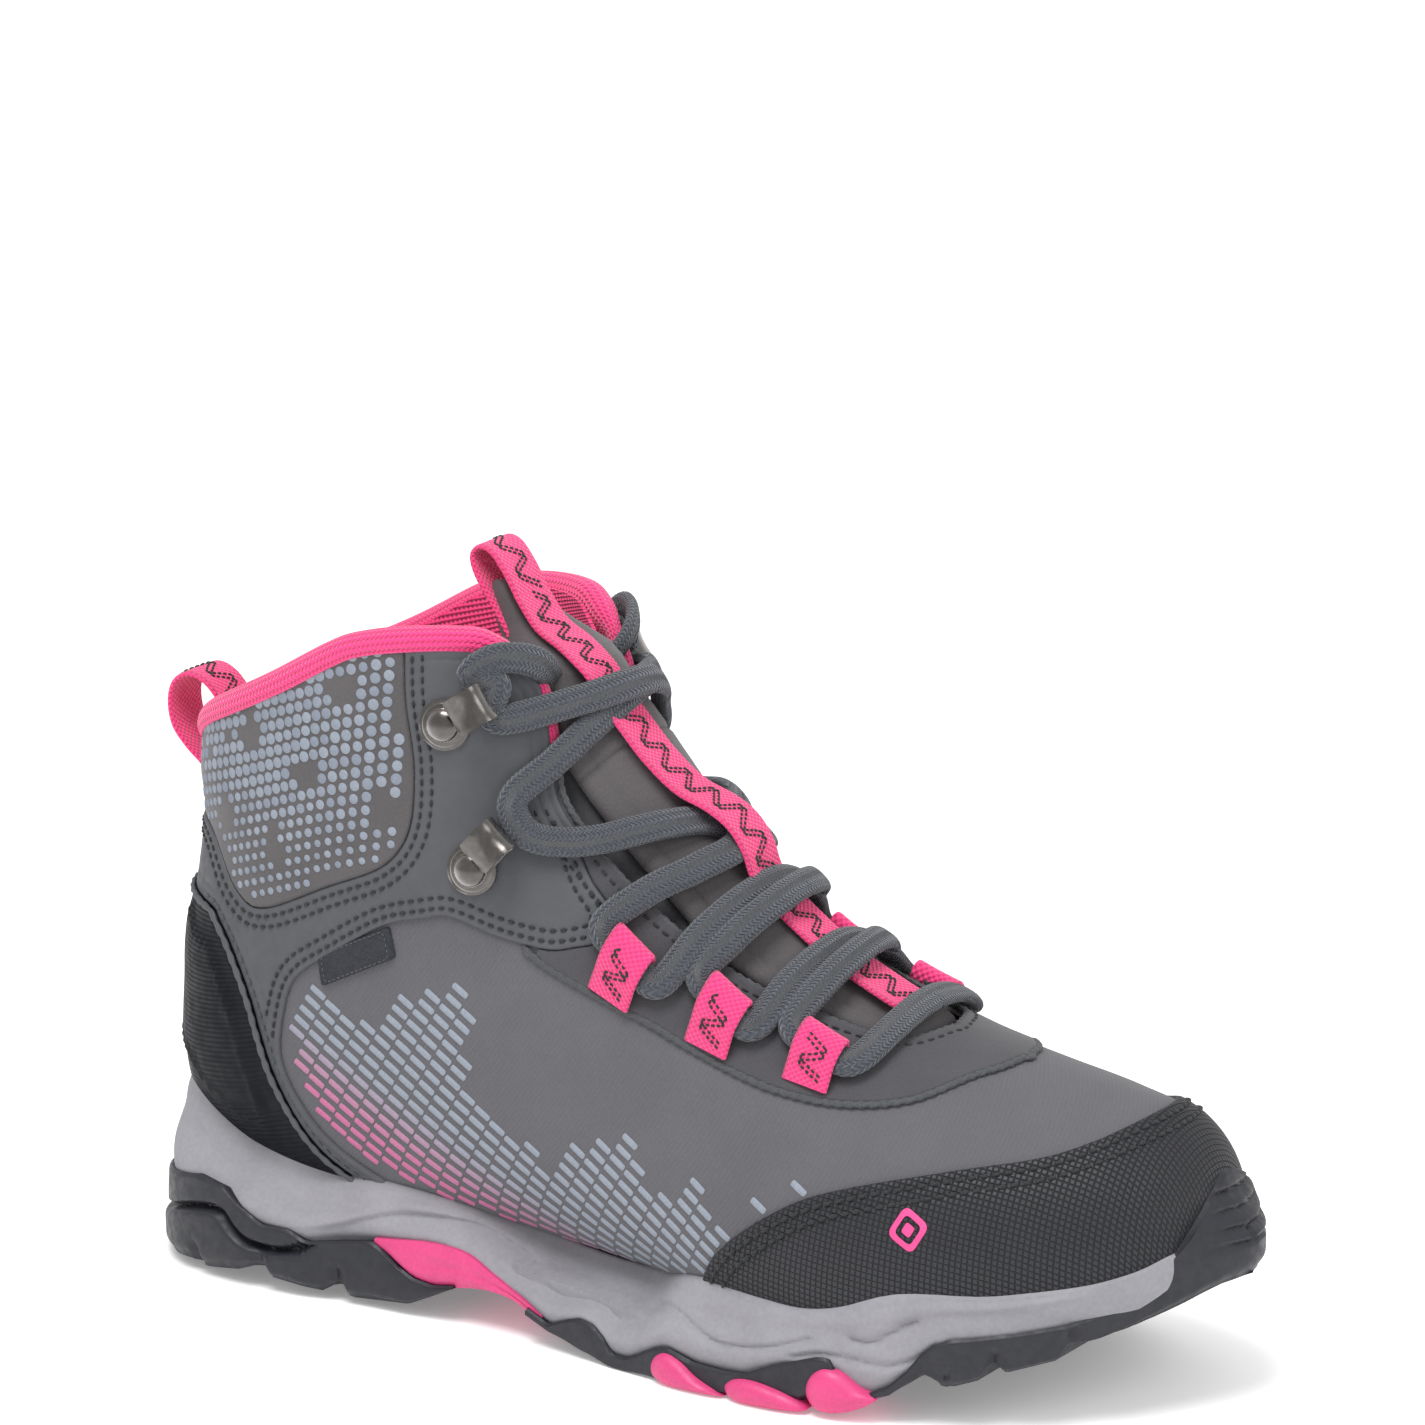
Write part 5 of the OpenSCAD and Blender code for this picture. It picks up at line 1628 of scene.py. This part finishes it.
def slot_depth(x, y, pitch, lean, width, depth, shift=0.0):
    """Depth of grooves between lugs that cross the sole in shallow chevrons."""
    phase = (x + lean * np.abs(y) + shift) / pitch
    gap = np.abs(phase - np.round(phase)) * pitch
    return depth * (1 - ease(gap, width * .5, width * .5 + .8))


def tread(low, slots, centre=True):
    """Bottom height inside the wall: lugs at low, with grooves cut up between them."""
    def height(q):
        x, y = q[:, 0], q[:, 1]
        depth = slots(x, y)
        if centre:
            depth = np.maximum(depth, 3.2 * (1 - ease(np.abs(y - 2 * np.sin(x / 9)), 1.2, 2.2)))
        return low + depth * (1 - ease(x, 206, 218))
    return height


TREAD_SHARES = [(k, None) for k in np.linspace(.985, 0, 28)]


def heel_half(u):
    x = rim(u)[:, 0]
    top, low = table(HEEL_TOP, x), np.minimum(table(HEEL_LOW, x), table(HEEL_TOP, x) - .25)
    tier = table(TIER_LINE, x)
    front = 1 - ease(x, 46, 52)
    back = -1.9 * (1 - ease(x, 0, 16))
    wall = [(-.7 + back, top - .1), (.15 + back, top + .05), (.75 + back, top - .45)]
    for w in np.linspace(.03, 1, 44):
        z = top - .45 - w * (top - .45 - low)
        gap = line_distance(TIER_LINE, x, z)
        lower = ease(tier - z, -.2, .8) * front
        off = .8 - 1.9 * (1 - ease(x, 0, 16)) + .75 * lower - 2.5 * np.exp(-(gap / .75) ** 2) * front
        off = off - 1.5 * ease(w, .78, 1) ** 2 + .3 * np.sin(w * math.pi)
        off = off - .5 * (1 - front) * ease(x, 48, 70) * ease(z, 4, 12)
        notch = np.exp(-((x - 36.4) / 1.2) ** 2) + np.exp(-((x - 55.3) / 1.1) ** 2) + np.exp(-((x - 18.5) / 1.2) ** 2)
        off = off - 1.3 * notch * (1 - ease(z, low + 3, low + 6))
        wall.append((off + .1 * noise(np.stack([x, z, x * 0], 1), 9), z))
    slots = lambda px, py: slot_depth(px, py, 9.3, -.3, 2.6, 3.2, .4) * ease(top - low, 2, 7)
    bottom = tread(low, slots)
    inner = [(share, bottom) for share, _ in TREAD_SHARES]
    return half_ring(u, [(0, top - 1.5), (.5, top - 1.2), (.9, top - .6)], wall, inner)


def fore_half(u):
    x = rim(u)[:, 0]
    bumper = np.where((u > 10.5) & (u < 13.5), table(BUMPER, u), 0)
    top = np.maximum(table(FORE_TOP, x), bumper)
    low = np.minimum(table(FORE_LOW, x), top - .3)
    high = ease(top, 30, 36)
    edge = np.where(high > 0, reach(u, top - .2), 0)
    lip = lambda flat, hug: flat * (1 - high) + (edge + hug) * high
    wall = [(lip(-.8, -.4), top - .2), (lip(.15, .45), top + .1), (lip(.7, 1.3), top - .4)]
    side = ease(u, 11.35, 11.8) * (1 - ease(u, 12.5, 12.85))
    for w in np.linspace(.03, 1, 34):
        z = top - .4 - w * (top - .4 - low)
        hug = reach(u, z) + 2.0
        lean = ease(z, 34, 45) * high
        off = .85 * (1 - lean) + hug * lean
        off = np.maximum(off, np.where(z > 32, reach(u, z) + 1.2, -9))
        for level in (44.5, 41.2, 38.2, 35.4):
            ridge = z - level + 1.2 * (u - 12)
            off = off - .75 * side * np.exp(-(ridge / .42) ** 2) + .35 * side * np.exp(-((ridge - 1.2) / .7) ** 2)
        off = off - 1.6 * ease(w, .8, 1) ** 2 * ease(top - low, 1, 6)
        notch = np.exp(-((x - 214) / 1.2) ** 2) + np.exp(-((x - 228) / 1.4) ** 2) + np.exp(-((x - 205.5) / .8) ** 2)
        off = off - 1.4 * notch * (1 - ease(z, low + 2.5, low + 5)) * (z < 26)
        wall.append((off + .1 * noise(np.stack([x, z, x * 0], 1), 9), z))
    slots = lambda px, py: slot_depth(px, py, 10.4, .28, 2.8, 3.0, 2) * ease(top - low, 1.5, 6)
    bottom = tread(low, slots)
    inner = [(share, bottom) for share, _ in TREAD_SHARES]
    roof = np.minimum(top, table(MID_LOW, x) + 2.2)
    return half_ring(u, [(0, roof), (.5, roof), (.88, roof)], wall, inner)


def arch_half(u):
    x = rim(u)[:, 0]
    top = table(PINK_TOP, x)
    low = np.minimum(table(PINK_LOW, x), top - .3)
    wall = [(-1.6 + 0 * x, top - .05), (-.6 + 0 * x, top + .05)]
    for w in np.linspace(.02, 1, 16):
        z = top - .2 - w * (top - .2 - low)
        belly = np.sin(w * math.pi * .9) * ease(top - low, 0, 8)
        off = -.55 + 1.0 * belly - .8 * ease(w, .8, 1)
        off = off - .4 * np.exp(-((w - .45) / .12) ** 2) * ease(x, 70, 80)
        wall.append((off, z))
    lift = lambda k: low + 1.2 * k
    return half_ring(u, [(0, top - 1), (.6, top - .6)], wall, [(.93, lift(.1)), (.6, lift(.7)), (.3, lift(1)), (0, lift(1))])


def lobe_mesh(outline, side):
    """A teardrop pad that stands out of the sole's wall."""
    ring = smooth_line(outline, 5, closed=True)
    middle = ring.mean(0)
    rows = []
    for share, out in ((0, 3.1), (.3, 3.0), (.55, 2.75), (.75, 2.3), (.9, 1.7), (.98, 1.0), (1, .2), (1, -3), (.9, -9),
                       (.8, -15), (0, -15)):
        q = middle + (ring - middle) * share
        u = rib_at(q[:, 0])
        u = u if side < 0 else 24 - u
        n = rim_out(u)
        p = rim(u) + n * out
        rows.append(np.stack([p[:, 0], p[:, 1], np.maximum(q[:, 1], .02)], 1))
    rings = np.array(rows)
    points = rings.reshape(-1, 3)
    return points, grid_faces(len(rings), len(ring), True), points[:, [0, 2]]


def build_sole():
    piece = ribbed_piece("midsole_foam", rib_steps(0, 12), midsole_half, M["eva"])
    on("boot", "foam_grey", piece, "midsole")
    piece = ribbed_piece("heel_outsole_rubber", rib_steps(0, rib_at(84.4)), heel_half, M["rubber"])
    on("boot", "rubber_black", piece, "heel_outsole")
    piece = ribbed_piece("forefoot_outsole_rubber", rib_steps(rib_at(104), 12, .036), fore_half, M["rubber"])
    on("boot", "rubber_black", piece, "forefoot_outsole")
    piece = ribbed_piece("arch_shank_rubber", rib_steps(rib_at(64), rib_at(107.5)), arch_half, M["pink_rubber"])
    on("boot", "rubber_pink", piece, "arch_shank")
    points, faces, uv = merge_parts([lobe_mesh(outline, side) for outline in LOBES for side in (-1, 1)])
    piece = make_piece("ball_pads_rubber", points, [faces], M["pink_rubber"], uv=uv, weld=True, sharp=40)
    on("boot", "rubber_pink", piece, "ball_pads")


build_sole()


# ---------------------------------------------------------------- prints, badge and tag
def surface_of(obj):
    """A search tree over a finished piece, in layout millimetres."""
    mesh = obj.data
    flat = np.empty(len(mesh.vertices) * 3)
    mesh.vertices.foreach_get("co", flat)
    points = layout(flat.reshape(-1, 3))
    return BVHTree.FromPolygons([Vector(p) for p in points], [tuple(f.vertices) for f in mesh.polygons])


def seen_from_side(tree, x, z, side):
    """The point and outward direction of a surface met by a level line from one side."""
    hit = tree.ray_cast(Vector((x, side * 90, z)), Vector((0, -side, 0)))
    if hit[0] is None:
        return None
    n = np.array(hit[1])
    return np.array(hit[0]), n * (1 if n[1] * side > 0 else -1)


def flat_print(length, width, power=4.0, around=12, thick=.14):
    """A thin raised print mark: a rounded plate, x along its length."""
    phi = (np.arange(around) + .5) / around * math.tau
    c, s = np.cos(phi), np.sin(phi)
    r = (np.abs(c) ** power + np.abs(s) ** power) ** (-1 / power)
    ring = np.stack([r * c * length / 2, r * s * width / 2], 1)
    rows = [np.c_[ring * k, np.full(around, z)] for k, z in ((0, thick), (.9, thick), (1, thick * .5), (1, -.25), (0, -.25))]
    return np.concatenate(rows), grid_faces(len(rows), around, True)[:, ::-1]


def marks(name, places, template, material, tints):
    """One piece made of many print marks; places are (origin, direction, outward)."""
    origins, tangents, ups = (np.array(v) for v in zip(*places))
    points, faces = place_template(template, origins, tangents, ups)
    tint = np.repeat(tints, len(template[0]))
    return make_piece(name, points, [faces], material, uv=points[:, [0, 2]], tint=tint, weld=True)


PRINT_TOP = [(44, 61), (48, 65), (52, 70), (56, 68), (62, 63), (66, 65), (73, 70), (80, 73), (87, 77), (89, 72), (89, 65),
             (88, 56), (91, 50), (98, 45), (104, 45), (108, 39), (113, 44), (121, 47), (130, 50), (131, 45), (136, 39),
             (142, 41), (149, 45), (150, 38), (154, 31)]
DASH_STEP = np.array([3.6, -2.75])      # from one dash to the next along its row, in the side view
DASH_COLUMN = np.array([-1.5, -2.45])     # from one row to the next
DASH_SLOPE = math.atan2(-.66, 1)


def dash_places():
    """Rows of dashes, in the side view, under the jagged top line of the print."""
    outline = PRINT_TOP + [(154, 18), (100, 14), (60, 18), (44, 30)]
    at = []
    for r in range(-45, 60):
        for k in range(-30, 40):
            at.append(np.array([88.0, 76.0]) + DASH_STEP * k + DASH_COLUMN * r)
    at = np.array(at)
    inside = poly_field(outline, at[:, 0], at[:, 1]) > .4
    rng = np.random.default_rng(4)
    extra = np.array([(153.4, 33.4), (161.4, 40.6), (170.6, 45.4)]) + rng.normal(0, .15, (3, 2))
    keep = at[inside]
    panel_edge = poly_field(list(ANKLE_OUTLINE) + [(-30, 14), (-30, 190), (140, 190)], keep[:, 0], keep[:, 1]) < -2.6
    sole_top = keep[:, 1] > table(MID_TOP, keep[:, 0]) + .8
    cap = poly_field(list(TOE_CAP_EDGE) + [(262, 75), (262, -6)], keep[:, 0], keep[:, 1]) < -2.0
    return np.concatenate([keep[panel_edge & sole_top & cap], extra])


def build_dashes(shell):
    tree = surface_of(shell)
    places, tints = [], []
    for side in (-1, 1):
        for x, z in dash_places():
            found = seen_from_side(tree, x, z, side)
            if found is None:
                continue
            direction = np.array([math.cos(DASH_SLOPE), 0, math.sin(DASH_SLOPE)])
            places.append((found[0], direction, found[1]))
            tints.append(float(.92 * ease((61 - .52 * (x - 47)) - z, 0, 17)))
    piece = marks("shell_print_dashes", places, flat_print(4.15, 1.5, 8), M["print"], tints)
    on("boot", None, piece)


def build_dots(cloth, f):
    """Rows of dots over the collar panel, thinned out along slanted breaks."""
    tree = surface_of(cloth)
    nearest = KDTree(len(SHEET))
    for i, point in enumerate(SHEET[:, :3]):
        nearest.insert(point, i)
    nearest.balance()
    rng = np.random.default_rng(9)
    template = flat_print(1, 1, 2, 16)
    places, sizes, tints = [], [], []
    radius, centre = 37.0, np.array([45.0, 0.0])
    for side in (-1, 1):
        for r in range(-26, 26):
            for k in range(0, 38):
                w = 1.3 + 2.68 * k + .22 * r
                z = 112 + 2.74 * r + .3 * (w - 30)
                turn = math.pi - w / radius
                spoke = np.array([math.cos(turn), side * math.sin(turn)])
                hit = tree.ray_cast(Vector((*(centre + spoke * 80), z)), Vector((*-spoke, 0)))
                broken = math.sin((w * .55 + z * 1.9) / 6.5) + .8 * math.sin((w * 1.4 - z * .7) / 4.6) > 1.36
                gone = broken or rng.random() < .03
                if hit[0] is None or gone or f[nearest.find(hit[0])[1]] < 1.7:
                    continue
                out = np.array(hit[1]) * (1 if np.array(hit[1])[:2] @ spoke > 0 else -1)
                places.append((np.array(hit[0]), np.array([-spoke[1], spoke[0], 0]), out))
                sizes.append((1.55 + .8 * ease(z, 96, 116)) * (1 + .04 * rng.standard_normal()))
                tints.append(.5 + .4 * rng.standard_normal())
    origins, tangents, ups = (np.array(x) for x in zip(*places))
    points, faces = place_template(template, np.zeros_like(origins), tangents, ups)
    points = points.reshape(len(origins), -1, 3)
    lift = (points * ups[:, None]).sum(2, keepdims=True) * ups[:, None]
    points = (points - lift) * np.array(sizes)[:, None, None] + lift + origins[:, None]
    points = points.reshape(-1, 3)
    tint = np.repeat(np.clip(tints, 0, 1), len(template[0]))
    piece = make_piece("collar_print_dots", points, [faces], M["dots"], uv=points[:, [0, 2]], tint=tint, weld=True)
    on("boot", None, piece)


def draped_plate(tree, outline, side, thick, cells=26):
    """A thin plate over an outline in the side view, laid on a surface."""
    outline = np.asarray(outline, float)
    middle = outline.mean(0)
    rows = []
    for share, lift in ((0, thick), (.25, thick), (.5, thick), (.75, thick), (.94, thick), (1, thick * .45), (1, -.5),
                        (.5, -.5), (0, -.5)):
        ring = []
        for x, z in middle + (outline - middle) * share:
            p, n = seen_from_side(tree, x, z, side)
            ring.append(p + n * lift)
        rows.append(ring)
    rings = np.array(rows)
    return rings.reshape(-1, 3), grid_faces(len(rings), len(outline), True)


def rounded_outline(corners, radius, steps=4):
    """A closed outline with its corners rounded off."""
    p = np.asarray(corners, float)
    out = []
    for i in range(len(p)):
        back, here, front = p[i - 1], p[i], p[(i + 1) % len(p)]
        a = here + unit(back - here) * radius
        b = here + unit(front - here) * radius
        for t in np.linspace(0, 1, steps + 1):
            out.append(a * (1 - t) ** 2 + 2 * here * t * (1 - t) + b * t * t)
    return resample(np.array(out + [out[0]]), .7)[:-1]


def build_badge(toe_cap):
    """A plain ringed lozenge in place of the maker's sign."""
    tree = surface_of(toe_cap)
    centre = np.array([195.6, 40.6])
    parts = []
    for side in (-1, 1):
        turn = np.array([[.97, -.26], [.26, .97]])
        lozenge = np.array([(0, 4.9), (4.4, 0), (0, -4.9), (-4.4, 0)]) @ turn.T
        outer = rounded_outline(centre + lozenge, 1.6)
        inner = centre + (outer - centre) * .66
        core = centre + (outer - centre) * .34
        rows = []
        for ring, lift in ((outer, -.4), (outer, .16), (centre + (outer - centre) * .97, .24), (inner * .98 + centre * .02,
                            .24), (inner, .16), (inner, -.4)):
            rows.append([(lambda h: h[0] + h[1] * lift)(seen_from_side(tree, x, z, side)) for x, z in ring])
        rings = np.array(rows + [rows[0]])
        parts.append((rings.reshape(-1, 3), grid_faces(len(rings), len(outer), True)))
        parts.append(draped_plate(tree, core, side, .24))
    points, faces = join_plain(parts)
    piece = make_piece("toe_badge_print", points, [faces], M["badge"], uv=points[:, [0, 2]],
                       tint=np.full(len(points), .4), weld=True)
    on("boot", "print_pink", piece, "toe_badge")


def build_tag(shell):
    """The small woven label on the lateral side, left blank, with a row of stitches inside its edge."""
    tree = surface_of(shell)
    corners = [(52.6, 69.6), (51.6, 76.6), (69.6, 85.2), (71.2, 78.6)]
    outline = rounded_outline(corners, .8)
    points, faces = draped_plate(tree, outline, -1, .95)
    piece = make_piece("side_tag_woven", points, [faces], M["tag"], uv=points[:, [0, 2]], weld=True)
    on("boot", "tag_fabric", piece, "side_tag")
    middle = outline.mean(0)
    inset = np.concatenate([middle + (outline - middle) * .86] * 2)[:len(outline) + 1]
    rows = []
    for x, z in resample(inset, 1.25):
        p, n = seen_from_side(tree, x, z, -1)
        rows.append(np.concatenate([p + n * .95, n]))
    rows = np.array(rows)
    mids = (rows[1:, :3] + rows[:-1, :3]) / 2
    p, f = place_template(stitch_template(.95, .17), mids, unit(rows[1:, :3] - rows[:-1, :3]), unit(rows[1:, 3:]))
    on("boot", None, make_piece("side_tag_stitching", p, [f], M["grey_thread"], sharp=80))


ANKLE_OUTLINE = smooth_line(ANKLE_FRONT, 8)
build_dashes(bpy.data.objects["outer_shell_fabric"])
build_dots(bpy.data.objects["collar_panel_cloth"], collar_field)
build_badge(bpy.data.objects["toe_cap_textile"])
build_tag(bpy.data.objects["outer_shell_fabric"])


# ---------------------------------------------------------------- finishes of the CAD parts that stay
def paint_cad_parts():
    """Inner parts that are kept as packed get their own procedural finish."""
    finishes = {"shank_plate": "steel", "insole_board": "board", "footbed": "bed", "toe_puff": "board",
                "heel_stiffener": "board", "rivet_washers": "steel"}
    for node, finish in finishes.items():
        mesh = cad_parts[node].data
        mesh.materials.clear()
        mesh.materials.append(M[finish])


paint_cad_parts()


# ---------------------------------------------------------------- stage
def build_stage():
    scene = bpy.context.scene
    bpy.ops.mesh.primitive_plane_add(size=6, location=(0, 0, 0))
    floor = bpy.context.object
    floor.name = "floor"
    g = Graph("floor_paper", .9, specular=.1)
    paper = g.finish(g.shade(colour(250, 250, 250), g.ramp(g.noise(300), .3, .7, .99, 1.0)))
    shader = paper.node_tree.nodes["Principled BSDF"]
    shader.inputs["Emission Color"].default_value = (1, 1, 1, 1)
    shader.inputs["Emission Strength"].default_value = .2
    floor.data.materials.append(paper)
    world = bpy.data.worlds.new("studio")
    world.use_nodes = True
    nodes, links = world.node_tree.nodes, world.node_tree.links
    sky = nodes["Background"]
    sky.inputs[0].default_value = (1, 1, 1, 1)
    strength = nodes.new("ShaderNodeMapRange")
    strength.inputs["To Min"].default_value = .82
    strength.inputs["To Max"].default_value = 1.0
    links.new(nodes.new("ShaderNodeLightPath").outputs["Is Camera Ray"], strength.inputs["Value"])
    links.new(strength.outputs[0], sky.inputs[1])
    scene.world = world
    target = Vector((.0935, 0, .1315))

    def softbox(name, azimuth, elevation, distance, size, power):
        light = bpy.data.lights.new(name, "AREA")
        light.shape, light.size, light.energy = "DISK", size, power
        lamp = bpy.data.objects.new(name, light)
        a, e = math.radians(azimuth), math.radians(elevation)
        back = Vector((math.sin(a) * math.cos(e), -math.cos(a) * math.cos(e), math.sin(e)))
        lamp.location = Vector((.09, 0, .06)) + back * distance
        lamp.rotation_euler = (-back).to_track_quat("-Z", "Y").to_euler()
        scene.collection.objects.link(lamp)

    softbox("key_softbox", 5, 66, 1.3, .7, 13)
    softbox("fill_softbox", 80, 35, 1.4, .7, 4)
    camera_data = bpy.data.cameras.new("camera")
    camera = bpy.data.objects.new("camera", camera_data)
    azimuth, elevation, distance = math.radians(30), math.radians(14.5), 1.7
    back = Vector((math.sin(azimuth) * math.cos(elevation), -math.cos(azimuth) * math.cos(elevation),
                   math.sin(elevation)))
    camera.location = target + back * distance
    camera.rotation_euler = (-back).to_track_quat("-Z", "Y").to_euler()
    camera_data.sensor_width = 36
    camera_data.lens = 36 * 8220 / 1425
    camera_data.clip_start = .05
    scene.collection.objects.link(camera)
    scene.camera = camera
    scene.view_settings.view_transform = "Standard"


build_stage()
